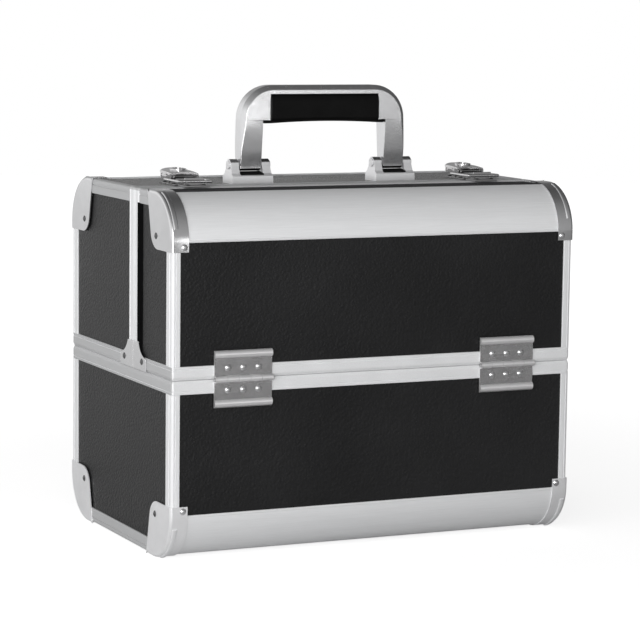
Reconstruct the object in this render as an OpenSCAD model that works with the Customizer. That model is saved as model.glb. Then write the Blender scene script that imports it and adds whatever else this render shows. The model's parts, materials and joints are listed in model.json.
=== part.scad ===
// Makeup train case: a lower box, two half lids that open to the front and to the back,
// two draw latches, a folding handle and four cantilever trays on strip arms.
// Frame: millimetres, +Z up, the hinged front at -Y, origin on the ground under the centre.

/* [Case] */
// Width over the edge rails
case_w = 340; // [280:1:420]
// Depth over the edge rails, from front to back
case_d = 218; // [216:1:270]
// Height of the top rails above the ground
case_h = 278; // [276:1:340]
// Height of the line where the lids meet the lower box
rim_z = 139; // [120:1:140]
// Depth of the front lid, from the front face to the parting line
front_lid_d = 78; // [78:1:82]
// Outside radius of the long rounded edges
edge_r = 36; // [24:1:40]

/* [Panels and rails] */
// Thickness of the covered board panels
panel_t = 4; // [3:0.5:6]
// Thickness of the aluminium rails, and how far they stand proud of the panels
rail_t = 1.2; // [0.8:0.1:2]
// Wall of the rounded edge bars
bar_t = 2.4; // [1.6:0.1:3.5]
// Width of a corner rail on the front or back face
rail_face_w = 7; // [6:0.5:14]
// Width of a corner rail on the side face
rail_side_w = 11.5; // [6:0.5:14]
// Width of the rails around each open rim
rim_w = 11.2; // [9:0.1:14]
// Gap between the lower box and a lid
rim_gap = 0.3; // [0.2:0.05:0.6]
// Gap between the two lids
parting_gap = 0.4; // [0.3:0.05:0.8]
// Height of the tongue that locates the lids
tongue_h = 4; // [2:0.5:4.5]
// Thickness of the tongue
tongue_t = 1.2; // [0.8:0.1:1.4]
// Play between the tongue and a lid panel
tongue_play = 0.2; // [0.1:0.05:0.4]

/* [Corner caps] */
// Sheet thickness of a corner cap
cap_t = 0.9; // [0.6:0.1:1.5]
// Width of the part of the cap that wraps the rounded edge
cap_wrap_w = 14; // [12:0.5:20]
// Reach of the cap along the top or bottom edge of the side
cap_reach_y = 48.5; // [44:0.5:52]
// Reach of the cap along the front or back edge of the side
cap_reach_z = 43; // [41:0.5:46]
// Radius of the lobe at the cap's inner corner
cap_lobe_r = 14; // [10:0.5:16]
// Height of the pressed ridge along the wrap
cap_ridge_h = 1.1; // [0.5:0.1:1.5]

/* [Rivets] */
// Radius of a rivet head
rivet_r = 2.6; // [1.8:0.1:3]
// Height of a rivet head
rivet_h = 1.1; // [0.6:0.1:1.6]
// Length of one foot plate along the rim
foot_l = 27; // [24:0.5:32]
// Height of a foot plate
foot_h = 21; // [18:0.5:26]

/* [Hinges] */
// Distance of each hinge centre from the middle of the case
hinge_x = 112.5; // [80:0.5:130]
// Width of a hinge
hinge_w = 47; // [36:0.5:60]
// Height of one hinge leaf above or below the pin
leaf_h = 21.7; // [18:0.1:26]
// Sheet thickness of a hinge leaf
leaf_t = 1.2; // [0.8:0.1:1.6]
// Radius of the hinge barrel
barrel_r = 2.5; // [2:0.1:2.8]
// Radius of the hinge pin
hinge_pin_r = 1; // [0.8:0.05:1.2]
// Radius of the rolled bead along a leaf's edge
bead_r = 3.2; // [2:0.1:4]
// Angle through which each lid opens
lid_open = 92; // [80:1:95]

/* [Handle] */
// Distance of each handle leg from the middle of the case
leg_x = 62.5; // [50:0.5:80]
// Width of a handle leg
leg_w = 18; // [12:0.5:20]
// Depth of a handle leg, from front to back
leg_d = 12; // [8:0.5:13]
// Height of the handle pivot above the top rails
handle_pivot_h = 13.5; // [13:0.5:16]
// Height of the top of the handle above its pivot
handle_h = 62.5; // [54:0.5:75]
// Depth of the handle frame at the top
crown_d = 17; // [14:0.5:20]
// Outside radius of the handle's corners
crown_r = 27; // [18:0.5:29]
// Length of the grip
grip_l = 94; // [70:1:96]
// Height of the grip
grip_h = 20.5; // [16:0.5:24]
// Reach of the grip's foot under the handle's shoulders, past the grip's ends
grip_foot_l = 5.5; // [3:0.5:6]
// Depth of the grip
grip_d = 21; // [16:0.5:24]
// Thickness of the spine above the grip
spine_t = 7; // [5:0.5:9]
// Radius of the handle pivot pin
handle_pin_r = 2.5; // [1.8:0.1:3]
// Width of a handle bracket at its foot
bracket_w = 35; // [34:0.5:44]
// Depth of a handle bracket at its foot
bracket_d = 20; // [16:0.5:26]

/* [Latches] */
// Distance of each latch from the middle of the case
latch_x = 125; // [100:0.5:135]
// Width of the latch lever
lever_w = 22; // [20:0.5:26]
// Length of the latch lever
lever_l = 29; // [24:0.5:34]
// Upward tilt of the lever's free end, in degrees
lever_tilt = 2; // [0:0.5:5]
// Sheet thickness of the latch parts
latch_t = 1.5; // [1.2:0.1:1.8]
// Radius of the fulcrum pin
fulcrum_r = 1.5; // [1.2:0.1:1.8]
// Distance from the fulcrum to the bail pivot
bail_arm = 7; // [5.5:0.1:7.5]
// Radius of the bail wire
bail_r = 1.2; // [0.9:0.05:1.4]
// Radius of the lock's collar on the lever
collar_r = 6.5; // [5:0.1:8]
// Radius of the lock plug
plug_r = 3.8; // [3:0.1:4.5]

/* [Trays] */
// Height of each tray
tray_h = 33; // [24:1:34]
// Wall thickness of a tray
tray_t = 1.6; // [1.2:0.1:2.4]
// Depth of a front tray
front_tray_d = 60; // [48:1:60]
// Depth of a back tray
back_tray_d = 119; // [100:1:119]
// Number of dividers in each tray
divider_n = 2; // [1:1:4]

/* [Tray arms] */
// Width of an arm
arm_w = 9; // [7:0.5:9.5]
// Thickness of an arm
arm_t = 1.2; // [1:0.1:1.4]
// Distance from an arm's foot to the lower tray's pivot
arm_low = 50; // [49:0.5:51]
// Distance from an arm's foot to the upper tray's pivot
arm_high = 98; // [97:0.5:99]
// Spacing of the two front arms
front_arm_gap = 15; // [14:0.5:16]
// Spacing of the two back arms
back_arm_gap = 40; // [30:0.5:44]
// Inward lean of the front arms with the lid closed, in degrees
front_lean = 4; // [3:0.5:5]
// Inward lean of the back arms with the lid closed, in degrees
back_lean = 10; // [9:0.5:11]
// Outward lean of the front arms with the lid open, in degrees
front_swing = 42; // [40:0.5:42]
// Outward lean of the back arms with the lid open, in degrees
back_swing = 46; // [44:0.5:46]
// Distance along the front lead arm to the link's rivet
front_link_r = 40; // [39:0.5:41]
// Distance along the back lead arm to the link's rivet
back_link_r = 38; // [37:0.5:39]
// Radial play of a turning pin in its hole
pin_play = 0.05; // [0.02:0.01:0.08]

/* [Hidden] */
$fn = 64;
half_w = case_w / 2;
half_d = case_d / 2;
floor_z = cap_t;
face_y = half_d - rail_t;                // outer face of the front and back panels, from the middle
face_x = half_w - rail_t;                // outer face of the side panels
in_x = face_x - panel_t;                 // inner face of the side panels
in_y = face_y - panel_t;                 // inner face of the front and back panels
tongue_x = in_x - tongue_play;           // outer faces of the tongue
tongue_y = in_y - tongue_play;
top_z = case_h - rail_t;                 // outer face of the top panels
bar_top_z = case_h - edge_r;             // where the upper bars begin
bar_low_z = floor_z + edge_r;            // where the lower bars end
lid_z = rim_z + rim_gap / 2;             // underside of the lids
box_z = rim_z - rim_gap / 2;             // upper edge of the lower box
front_d = front_lid_d - parting_gap / 2; // depth of the front lid itself
back_d = case_d - front_lid_d - parting_gap / 2;
parting_y = front_lid_d - half_d;
cap_rivet_in = 30.5;                     // a cap's side rivet, from the end face
cap_rivet_down = 33;                     // and from the top
wrap_rivet_in = 9.5;                     // a cap's front rivet, from the side face
wrap_rivet_up = 3.6;                     // and above the cap's foot
cap_lobe_in = 21;                        // centre of the cap's lobe, from its far end
ridge_in = 4;                            // pressed ridge of a cap, from its outer side
ridge_w = 5.5;
ridge_cut = 10;                          // how far short of the flats the ridge ends
foot_rivet_in = 8.6;                     // a foot plate's rivet, from its tip
foot_rivet_up = 7;
foot_curve_up = 6;                       // centre of the foot plate's hollow, above its top
foot_low = 10;                           // height of the foot plate's tip
skin_gap = 0.1;                          // small play between flat parts that slide on each other
eps = 0.01;

// Hinges: the axis stands just outside the rail's face
axis_off = barrel_r + skin_gap;
axis_y = half_d + axis_off;
knuckle_n = 5;
knuckle_gap = 0.2;
hinge_rivet_x = 12.5;
hinge_rivet_z = 8.4;

// Handle
pivot_z = case_h + handle_pivot_h;
crown_z = pivot_z + handle_h;
grip_top_z = crown_z - spine_t;
grip_z = grip_top_z - grip_h;
leg_play = 0.9;
ear_r = 4.5;
ear_spread = 2.5;                        // how much wider an ear is at its foot
pin_head_t = 1;
pin_head_rim = 0.9;
leg_end_r = 5;
knee_low = 6;                            // heights above the pivot where the legs change depth
knee_high = 20;
crown_bevel = 4;
grip_crown = 2;                          // how much the grip's section is flatter than a circle
grip_foot_t = 2.4;
bracket_top_w = 33.5;
sill_z = case_h + 6;

// Latches: u runs to the back from the parting line, heights from the top rails
fulcrum_u = 11;
fulcrum_h = 6.6;
ear_t = 1.5;
ear_x = 7.5;
ear_end_r = 2.4;
cheek_x = lever_w / 2 - latch_t - 0.3;
bail_angle = -20;
bail_x = lever_w / 2 + 2.2;
bail_u = fulcrum_u + bail_arm * cos(bail_angle);
bail_h = fulcrum_h + bail_arm * sin(bail_angle);
lip_u = -8.8;
lip_h = 7;
hook_play = 0.5;                         // lets the bail pass over centre
hook_u = lip_u - latch_t - bail_r - hook_play;
lever_clear = 2.6;
collar_u = 13;
lip_in = 2;                              // how much narrower the lip is on each side
strike_l = 17;
strike_w = 20;
strike_rivet_in = 3.6;
base_l = 33;
base_w = 24;
base_rivet_in = 3.5;
small_rivet_r = 1.9;
small_rivet_h = 0.8;
lever_heel = 2;                          // reach of the lever's plate in front of the fulcrum
lever_tip = 6;                           // length of the lever's rounded tip
collar_h = 1.2;
lock_wall = 1.2;                         // wall of the lock's barrel under the lever
lock_depth = 3;
cam_t = 1.2;
cam_reach = 2.4;
key_slot = 1.2;
dimple_r = 1.4;
dimple_depth = 0.5;
dimple_u = [10, 20];                     // places of the dimples along the lever's sides
dimple_h = 0.9;
cheek_end_r = 3.4;
skirt_low = -2.3;                        // lower edge of the lever's sides, from the fulcrum
bail_eye_r = 2.6;

// Trays and arms: u runs inward from the hinge axis
tray_x = in_x - 7.2;                     // outer face of a tray's side wall
tray_u = 15;
divider_drop = 6;                        // how far the dividers stop below the tray's rim
stud_head_r = 3.2;
arm_z = box_z - rim_w - stud_head_r - 0.45; // the arms' feet, just under the rim
lead_u = 46;
low_tray_z = rim_z + 24;
high_tray_z = rim_z + 74;
arm_in_x = tray_x + 1.2;                 // inner face of the arms
link_in_x = arm_in_x + arm_t + 1;        // inner face of the links
pivot_r = 2;
head_t = 0.7;
link_pin_r = 1.8;
link_w = 10;
link_turn = -0.25;                       // turn of the link for each degree of the lid
slot_pin_r = 1.5;
slot_play = 0.35;
stud_u = 17;
stud_z = rim_z + 14;
stud_base_r = 4.5;

// ---------------------------------------------------------------- helpers

// A block between two opposite corners
module block(low, high) {
    translate(low) cube(high - low);
}

// Extrudes an outline drawn in Y and Z from x0 to x1
module along_x(x0, x1) {
    translate([x0, 0, 0]) rotate([90, 0, 90]) linear_extrude(x1 - x0) children();
}

// The same piece on the left and on the right
module both_sides() {
    children();
    mirror([1, 0, 0]) children();
}

// The same piece at the front and at the back
module both_ends() {
    children();
    mirror([0, 1, 0]) children();
}

module to_back() {
    mirror([0, 1, 0]) children();
}

// Outline of the closed case from the side, moved inward by inset, with round corners
module outline(inset) {
    y = half_d - inset;
    z0 = floor_z + inset;
    z1 = case_h - inset;
    r = edge_r - inset;
    difference() {
        translate([-y, z0]) square([2 * y, z1 - z0]);
        for (side = [-1, 1], up = [0, 1])
            translate([side * y, up ? z1 : z0])
                mirror([side > 0 ? 1 : 0, 0]) mirror([0, up]) corner_waste(r);
    }
}

// What a round corner of radius r takes off a square one, at the origin
module corner_waste(r) {
    difference() {
        translate([-1, -1]) square(r + 1);
        translate([r, r]) circle(r);
    }
}

// Outline of one rounded edge bar at the upper front edge
module bar_outline() {
    intersection() {
        translate([-half_d + edge_r, bar_top_z]) difference() {
            circle(edge_r);
            circle(edge_r - bar_t);
        }
        translate([-half_d, bar_top_z]) square(edge_r);
    }
}

// The upper front bar's outline, turned down to the lower front edge
module low_bar_outline() {
    translate([0, bar_low_z + bar_top_z]) mirror([0, 1]) bar_outline();
}

// A domed rivet head standing on the XY plane
module rivet(r = rivet_r, h = rivet_h) {
    ball = (r * r + h * h) / (2 * h);
    intersection() {
        cylinder(r = r, h = h);
        translate([0, 0, h - ball]) sphere(ball);
    }
}

// A rivet head on the left side face, on the face at the front, or on a top face
module side_rivet(y, z, out) {
    translate([-half_w - out, y, z]) rotate([0, -90, 0]) rivet();
}

module face_rivet(x, z, out) {
    translate([x, -half_d - out, z]) rotate([90, 0, 0]) rivet();
}

// ---------------------------------------------------------------- corner caps

// Side flange of a cap: a is measured from the end face, b from the top
module cap_flange() {
    lobe = [cap_reach_y - cap_lobe_in, cap_reach_z - cap_lobe_r];
    foot = [cap_reach_y, -cap_t];
    gap = foot - lobe;
    turn = atan2(gap[1], gap[0]) + acos(cap_lobe_r / norm(gap));
    touch = lobe + cap_lobe_r * [cos(turn), sin(turn)];
    intersection() {
        union() {
            polygon([[-cap_t, -cap_t], [-cap_t, cap_reach_z], [lobe[0], cap_reach_z], touch, foot]);
            translate(lobe) circle(cap_lobe_r);
        }
        cap_corner(cap_t);
    }
}

// A large quarter round corner, moved outward by out
module cap_corner(out) {
    r = edge_r + out;
    translate([edge_r, edge_r]) circle(r);
    translate([edge_r, -out]) square([cap_reach_y, cap_reach_z + out]);
    translate([-out, edge_r]) square([cap_reach_y + out, cap_reach_z]);
}

// Section of the wrap: the sheet that follows the rounded edge
module cap_wrap_section(out_low, out_high, reach_y, reach_z) {
    intersection() {
        difference() {
            cap_corner(out_high);
            cap_corner(out_low);
        }
        translate([-out_high, -out_high]) square([reach_y + out_high, reach_z + out_high]);
    }
}

// One cap on the left upper front corner
module cap() {
    wrap_x = half_w + cap_t;
    ridge_reach = edge_r - ridge_cut;
    translate([0, -half_d, case_h]) mirror([0, 0, 1]) {
        along_x(-wrap_x, -half_w) cap_flange();
        along_x(-wrap_x, cap_wrap_w - wrap_x) cap_wrap_section(0, cap_t, cap_reach_y - 3, cap_reach_z);
        along_x(ridge_in - wrap_x, ridge_in + ridge_w - wrap_x)
            cap_wrap_section(cap_t - eps, cap_t + cap_ridge_h, ridge_reach, ridge_reach);
    }
}

module cap_rivets() {
    side_rivet(cap_rivet_in - half_d, case_h - cap_rivet_down, cap_t);
    face_rivet(wrap_rivet_in - half_w, case_h - cap_reach_z + wrap_rivet_up, cap_t);
}

// Moves a piece of the upper corners down to the lower ones
module to_bottom() {
    translate([0, 0, case_h + floor_z]) mirror([0, 0, 1]) children();
}

// ---------------------------------------------------------------- lower box

module face_panel(z0, z1) {
    block([-in_x, -face_y, z0], [in_x, -in_y, z1]);
}

// Left side panel between two depths and two heights, clear of the rounded bars
module side_panel(y0, y1, z0, z1) {
    along_x(-face_x, -in_x) intersection() {
        difference() {
            outline(rail_t);
            both_ends_2d() bar_outline();
            both_ends_2d() low_bar_outline();
        }
        translate([y0, z0]) square([y1 - y0, z1 - z0]);
    }
}

module both_ends_2d() {
    children();
    mirror([1, 0]) children();
}

// An upright corner rail at the left front, between two heights
module upright_rail(z0, z1) {
    difference() {
        block([-half_w, -half_d, z0], [-half_w + rail_side_w, -half_d + rail_side_w, z1]);
        block([-face_x, -face_y, z0 - 1], [0, 0, z1 + 1]);
        block([-half_w + rail_face_w, -half_d - 1, z0 - 1], [0, 0, z1 + 1]);
    }
}

// A rail along the left upper edge, between two depths
module edge_rail(y0, y1) {
    difference() {
        block([-half_w, y0, case_h - rail_side_w], [-half_w + rail_face_w, y1, case_h]);
        block([-face_x, y0 - 1, 0], [0, y1 + 1, top_z]);
    }
}

module base_front_panel() color([0.13, 0.13, 0.14]) face_panel(bar_low_z, box_z - rail_t);

module base_back_panel() color([0.13, 0.13, 0.14]) to_back() face_panel(bar_low_z, box_z - rail_t);

module base_side_panels() color([0.2, 0.2, 0.21])
    both_sides() side_panel(-face_y, face_y, 0, box_z - rail_t);

module floor_panel() color([0.15, 0.15, 0.15])
    block([-in_x, edge_r - half_d, floor_z + rail_t], [in_x, half_d - edge_r, floor_z + rail_t + panel_t]);

module bottom_front_bar() color([0.86, 0.87, 0.88]) along_x(-half_w, half_w) low_bar_outline();

module bottom_back_bar() color([0.86, 0.87, 0.88]) to_back() along_x(-half_w, half_w) low_bar_outline();

module base_edge_rails() color([0.86, 0.87, 0.88]) both_sides() {
    both_ends() upright_rail(bar_low_z, box_z - rim_w);
    to_bottom() edge_rail(edge_r - half_d, half_d - edge_r);
}

// Rim of the lower box: a strip outside the panels and a web over their edges
module base_rim_frame() color([0.88, 0.89, 0.9]) difference() {
    block([-half_w, -half_d, box_z - rim_w], [half_w, half_d, box_z]);
    block([-face_x, -face_y, 0], [face_x, face_y, box_z - rail_t]);
    block([-tongue_x, -tongue_y, 0], [tongue_x, tongue_y, case_h]);
}

// Strip inside the rim that stands up into the closed lids
module base_tongue() color([0.8, 0.81, 0.82]) difference() {
    block([-tongue_x, -tongue_y, box_z - rim_w], [tongue_x, tongue_y, box_z + tongue_h]);
    block([tongue_t - tongue_x, tongue_t - tongue_y, 0], [tongue_x - tongue_t, tongue_y - tongue_t, case_h]);
}

module base_corner_caps() color("silver") both_sides() both_ends() to_bottom() cap();

module base_rivets() color("gainsboro") {
    both_sides() both_ends() to_bottom() cap_rivets();
    both_ends() hinge_rivets(-1);
    both_sides() {
        arm_studs(front_arm_gap);
        to_back() arm_studs(back_arm_gap);
    }
}

// Studs on the side panel's inner face that carry the arms' feet
module arm_studs(gap) {
    for (u = [lead_u, lead_u + gap])
        translate([-in_x, u - axis_y, arm_z]) rotate([0, 90, 0]) {
            reach = in_x - arm_in_x;
            cylinder(r = stud_head_r, h = reach - arm_t - skin_gap);
            cylinder(r = pivot_r, h = reach + skin_gap + head_t);
            translate([0, 0, reach + skin_gap]) cylinder(r = stud_head_r, h = head_t);
        }
}

// ---------------------------------------------------------------- hinges

// Knuckle k of a hinge, counted from the left
module knuckle(k) {
    pitch = hinge_w / knuckle_n;
    x0 = -hinge_w / 2 + k * pitch + (k > 0 ? knuckle_gap / 2 : 0);
    x1 = -hinge_w / 2 + (k + 1) * pitch - (k < knuckle_n - 1 ? knuckle_gap / 2 : 0);
    along_x(x0, x1) difference() {
        translate([-axis_y, rim_z]) union() {
            circle(barrel_r);
            square([axis_off, barrel_r + skin_gap]);
        }
        translate([-axis_y, rim_z]) circle(hinge_pin_r + pin_play);
    }
}

// A leaf above the pin with the knuckles named in ks
module leaf(ks) {
    along_x(-hinge_w / 2, hinge_w / 2) {
        start = rim_z + barrel_r + skin_gap;
        translate([-half_d - leaf_t, start]) square([leaf_t, rim_z + leaf_h - start]);
        intersection() {
            translate([-half_d, rim_z + leaf_h - bead_r]) circle(bead_r);
            translate([-half_d - bead_r, rim_z]) square([bead_r, leaf_h]);
        }
    }
    for (k = ks) knuckle(k);
}

module hinge_rivets(up) {
    for (x = [-hinge_x, hinge_x], side = [-1, 0, 1])
        face_rivet(x + side * hinge_rivet_x, rim_z + up * hinge_rivet_z, leaf_t);
}

module upper_leaves() {
    for (x = [-hinge_x, hinge_x]) translate([x, 0, 0]) leaf([1, 3]);
}

module hinge_lower_leaves() color([0.75, 0.75, 0.76]) both_ends()
    for (x = [-hinge_x, hinge_x])
        translate([x, 0, 2 * rim_z]) mirror([0, 0, 1]) leaf([0, 2, 4]);

module hinge_pins() color("silver") both_ends() for (x = [-hinge_x, hinge_x])
    translate([x - hinge_w / 2, -axis_y, rim_z]) rotate([0, 90, 0]) {
        cylinder(r = hinge_pin_r, h = hinge_w);
        for (end = [0, 1])
            translate([0, 0, end ? hinge_w : -0.6]) cylinder(r = hinge_pin_r + 0.8, h = 0.6);
    }

// ---------------------------------------------------------------- lids
// Each lid is drawn at the front with depth d, and mirrored for the back

module lid_top_panel(d) {
    block([-in_x, edge_r - half_d, top_z - panel_t], [in_x, d - half_d - rail_t, top_z]);
}

module lid_edge_rails(d) both_sides() {
    upright_rail(lid_z + rim_w, bar_top_z);
    edge_rail(edge_r - half_d, d - half_d - rim_w);
}

// Rails around the lid's open rim and along the parting line
module lid_frame(d) {
    back = d - half_d;
    difference() {
        union() {
            block([-half_w, -half_d, lid_z], [half_w, back, lid_z + rim_w]);
            block([-half_w, back - rim_w, lid_z], [half_w, back, case_h]);
        }
        // room for the panels behind the outer strips
        block([-face_x, -face_y, lid_z + rail_t], [face_x, back - rail_t, top_z]);
        // the open inside
        block([-in_x, -in_y, lid_z - 1], [in_x, back + 1, top_z - panel_t]);
    }
}

module lid_caps() both_sides() cap();

// Two plates on the sides that brace the foot of the parting rails
module foot_plates(d) both_sides()
    along_x(-half_w - cap_t, -half_w) translate([d - half_d, lid_z]) mirror([1, 0]) difference() {
        square([foot_l, foot_h]);
        translate([foot_l, foot_h + foot_curve_up]) circle(foot_h + foot_curve_up - foot_low);
    }

// Stud inside the lid on which the slotted end of a link rides
module lid_stud() translate([-in_x, stud_u - axis_y, stud_z]) rotate([0, 90, 0]) {
    shoulder = in_x - link_in_x - arm_t - 0.3;
    tip = in_x - link_in_x + skin_gap;
    cylinder(r = stud_base_r, h = shoulder);
    cylinder(r = slot_pin_r, h = tip + head_t - 0.1);
    translate([0, 0, tip]) cylinder(r = stud_base_r, h = head_t - 0.1);
}

module lid_rivets(d) {
    both_sides() {
        cap_rivets();
        side_rivet(d - half_d - foot_l + foot_rivet_in, lid_z + foot_rivet_up, cap_t);
        lid_stud();
    }
    hinge_rivets(1);
}

module front_lid_panel() color([0.13, 0.13, 0.14]) face_panel(lid_z + rail_t, bar_top_z);

module front_lid_side_panels() color([0.2, 0.2, 0.21])
    both_sides() side_panel(-face_y, front_d - half_d - rail_t, lid_z + rail_t, case_h);

module front_lid_top_panel() color([0.3, 0.3, 0.31]) lid_top_panel(front_d);

module front_lid_bar() color([0.86, 0.87, 0.88]) along_x(-half_w, half_w) bar_outline();

module front_lid_edge_rails() color([0.86, 0.87, 0.88]) lid_edge_rails(front_d);

module front_lid_frame() color([0.88, 0.89, 0.9]) lid_frame(front_d);

module front_lid_corner_caps() color("silver") lid_caps();

module front_foot_plates() color("silver") foot_plates(front_d);

module front_lid_rivets() color("gainsboro") {
    lid_rivets(front_d);
    latch_rivets(strike_w / 2 - strike_rivet_in, strike_rivet_in - strike_l);
}

module front_hinge_leaves() color([0.75, 0.75, 0.76]) upper_leaves();

module back_lid_panel() color([0.13, 0.13, 0.14]) to_back() face_panel(lid_z + rail_t, bar_top_z);

module back_lid_side_panels() color([0.2, 0.2, 0.21])
    to_back() both_sides() side_panel(-face_y, back_d - half_d - rail_t, lid_z + rail_t, case_h);

module back_lid_top_panel() color([0.3, 0.3, 0.31]) to_back() lid_top_panel(back_d);

module back_lid_bar() color([0.86, 0.87, 0.88]) to_back() along_x(-half_w, half_w) bar_outline();

module back_lid_edge_rails() color([0.86, 0.87, 0.88]) to_back() lid_edge_rails(back_d);

module back_lid_frame() color([0.88, 0.89, 0.9]) to_back() lid_frame(back_d);

module back_lid_corner_caps() color("silver") to_back() lid_caps();

module back_foot_plates() color("silver") to_back() foot_plates(back_d);

module back_lid_rivets() color("gainsboro") {
    to_back() lid_rivets(back_d);
    latch_rivets(base_w / 2 - base_rivet_in, base_l - base_rivet_in);
}

module back_hinge_leaves() color([0.75, 0.75, 0.76]) to_back() upper_leaves();

// ---------------------------------------------------------------- latches

// Puts a piece at one latch: x across, y to the back from the parting line, z from the top rails
module at_latch(x) {
    translate([x, parting_y, case_h]) children();
}

// Two small rivets at each latch, x to either side and y back from the parting line
module latch_rivets(x, y) {
    for (at = [-latch_x, latch_x], side = [-1, 1])
        at_latch(at) translate([side * x, y, latch_t]) rivet(small_rivet_r, small_rivet_h);
}

module strike() {
    block([-strike_w / 2, -strike_l, 0], [strike_w / 2, -parting_gap, latch_t]);
    block([lip_in - strike_w / 2, lip_u - latch_t, 0], [strike_w / 2 - lip_in, lip_u, lip_h]);
}

module latch_strikes() color([0.72, 0.72, 0.73]) for (x = [-latch_x, latch_x]) at_latch(x) strike();

module latch_base() {
    difference() {
        union() {
            block([-base_w / 2, parting_gap, 0], [base_w / 2, base_l, latch_t]);
            both_sides() along_x(-ear_x - ear_t, -ear_x) {
                translate([fulcrum_u, fulcrum_h]) circle(ear_end_r);
                translate([fulcrum_u - ear_end_r / 2, 0]) square([1.5 * ear_end_r, fulcrum_h]);
            }
        }
        along_x(-base_w, base_w) translate([fulcrum_u, fulcrum_h]) circle(fulcrum_r);
    }
}

module latch_bases() color([0.62, 0.62, 0.63]) for (x = [-latch_x, latch_x]) at_latch(x) latch_base();

module latch_pins() color("silver") for (x = [-latch_x, latch_x]) at_latch(x)
    translate([0, fulcrum_u, fulcrum_h]) rotate([0, 90, 0]) {
        reach = lever_w / 2 - 0.2;
        cylinder(r = fulcrum_r, h = 2 * reach, center = true);
        for (side = [-1, 1])
            translate([0, 0, side * (reach + 0.35)]) cylinder(r = fulcrum_r + 0.7, h = head_t, center = true);
    }

// Lever: a top plate with a folded side on each edge and the lock's collar
module lever() difference() {
    union() {
        at_lever() {
            block([-lever_w / 2, -lever_heel, 0], [lever_w / 2, lever_l - lever_tip, latch_t]);
            translate([0, lever_l - lever_tip, 0]) linear_extrude(latch_t) lever_tip_outline();
            translate([0, collar_u, 0]) cylinder(r = collar_r, h = latch_t + collar_h);
            translate([0, collar_u, -lock_depth]) cylinder(r = plug_r + lock_wall, h = lock_depth + 1);
        }
        both_sides() along_x(0.1 - cheek_x - latch_t, -cheek_x) cheek_outline();
    }
    at_lever() {
        translate([0, collar_u, -2 * lock_depth]) cylinder(r = plug_r + pin_play, h = 4 * lock_depth);
    }
    both_sides() for (u = dimple_u)
        along_x(-base_w, 0.1 + dimple_depth - cheek_x - latch_t)
            translate([fulcrum_u + u, fulcrum_h + dimple_h]) circle(dimple_r);
    along_x(-base_w, base_w) {
        translate([fulcrum_u, fulcrum_h]) circle(fulcrum_r + pin_play);
        translate([bail_u, bail_h]) circle(bail_r + pin_play);
    }
}

// The lever's tip, rounded by a circle that meets its sides
module lever_tip_outline() intersection() {
    translate([0, lever_tip - lever_w / 2 - 1]) circle(lever_w / 2 + 1);
    translate([-lever_w / 2, 0]) square([lever_w, lever_tip]);
}

// Moves the lever's plate over the fulcrum and tilts its free end up
module at_lever() {
    translate([0, fulcrum_u, fulcrum_h]) rotate([lever_tilt, 0, 0]) translate([0, 0, lever_clear]) children();
}

// Height of the plate's middle above the fulcrum, at u behind it
function plate_h(u) = (lever_clear + latch_t / 2 + u * sin(lever_tilt)) / cos(lever_tilt);

// Folded side of the lever, with the eyes for the fulcrum and for the bail
module cheek_outline() {
    bail_at = [bail_u - fulcrum_u, bail_h - fulcrum_h];
    skirt_u = lever_l - lever_tip;
    translate([fulcrum_u, fulcrum_h]) {
        circle(cheek_end_r);
        translate(bail_at) circle(bail_eye_r);
        polygon([[-lever_heel, 0], [-lever_heel, plate_h(-lever_heel)], [skirt_u, plate_h(skirt_u)],
            [skirt_u, skirt_low + 2], [skirt_u - 2, skirt_low], bail_at + [2, skirt_low - bail_at[1]],
            bail_at + [0, -2], [1, 0.2 - cheek_end_r]]);
    }
}

module lever_left() color([0.75, 0.75, 0.76]) at_latch(-latch_x) lever();

module lever_right() color([0.75, 0.75, 0.76]) at_latch(latch_x) lever();

// Bail: two wire legs from the lever's cheeks to a cross bar behind the strike's lip
module bail() {
    both_sides() {
        translate([-bail_x, bail_u, bail_h]) rotate([90, 0, 0]) cylinder(r = bail_r, h = bail_u - hook_u);
        translate([-bail_x, bail_u, bail_h]) sphere(bail_r);
        translate([-bail_x, bail_u, bail_h]) rotate([0, 90, 0])
            cylinder(r = bail_r, h = bail_x - cheek_x + 0.1);
        translate([-bail_x, hook_u, bail_h]) sphere(bail_r);
    }
    translate([-bail_x, hook_u, bail_h]) rotate([0, 90, 0]) cylinder(r = bail_r, h = 2 * bail_x);
}

module hook_left() color([0.8, 0.8, 0.81]) at_latch(-latch_x) bail();

module hook_right() color([0.8, 0.8, 0.81]) at_latch(latch_x) bail();

// Lock plug with its key slot above and a small cam below
module plug() at_lever() translate([0, collar_u, 0]) {
    difference() {
        translate([0, 0, -lock_depth - 0.2])
            cylinder(r = plug_r, h = lock_depth + latch_t + collar_h - 0.2);
        block([-key_slot / 2, 1 - plug_r, latch_t], [key_slot / 2, plug_r - 1, latch_t + 2 * collar_h]);
    }
    block([-2, -2, -lock_depth - 0.2 - cam_t], [2, plug_r + cam_reach, -lock_depth - 0.2]);
}

module lock_left() color([0.55, 0.55, 0.56]) at_latch(-latch_x) plug();

module lock_right() color([0.55, 0.55, 0.56]) at_latch(latch_x) plug();

// ---------------------------------------------------------------- handle

// Bracket from the front: wide at the foot, upright where the pin's heads lie against it
module bracket_front_outline() {
    seat_z = pivot_z - handle_pin_r - pin_head_rim - skin_gap;
    half = [[bracket_w / 2, top_z], [bracket_w / 2, top_z + 4], [bracket_top_w / 2, seat_z],
        [bracket_top_w / 2, pivot_z + ear_r]];
    polygon(concat(half, [for (k = [len(half) - 1:-1:0]) [-half[k][0], half[k][1]]]));
}

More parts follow.
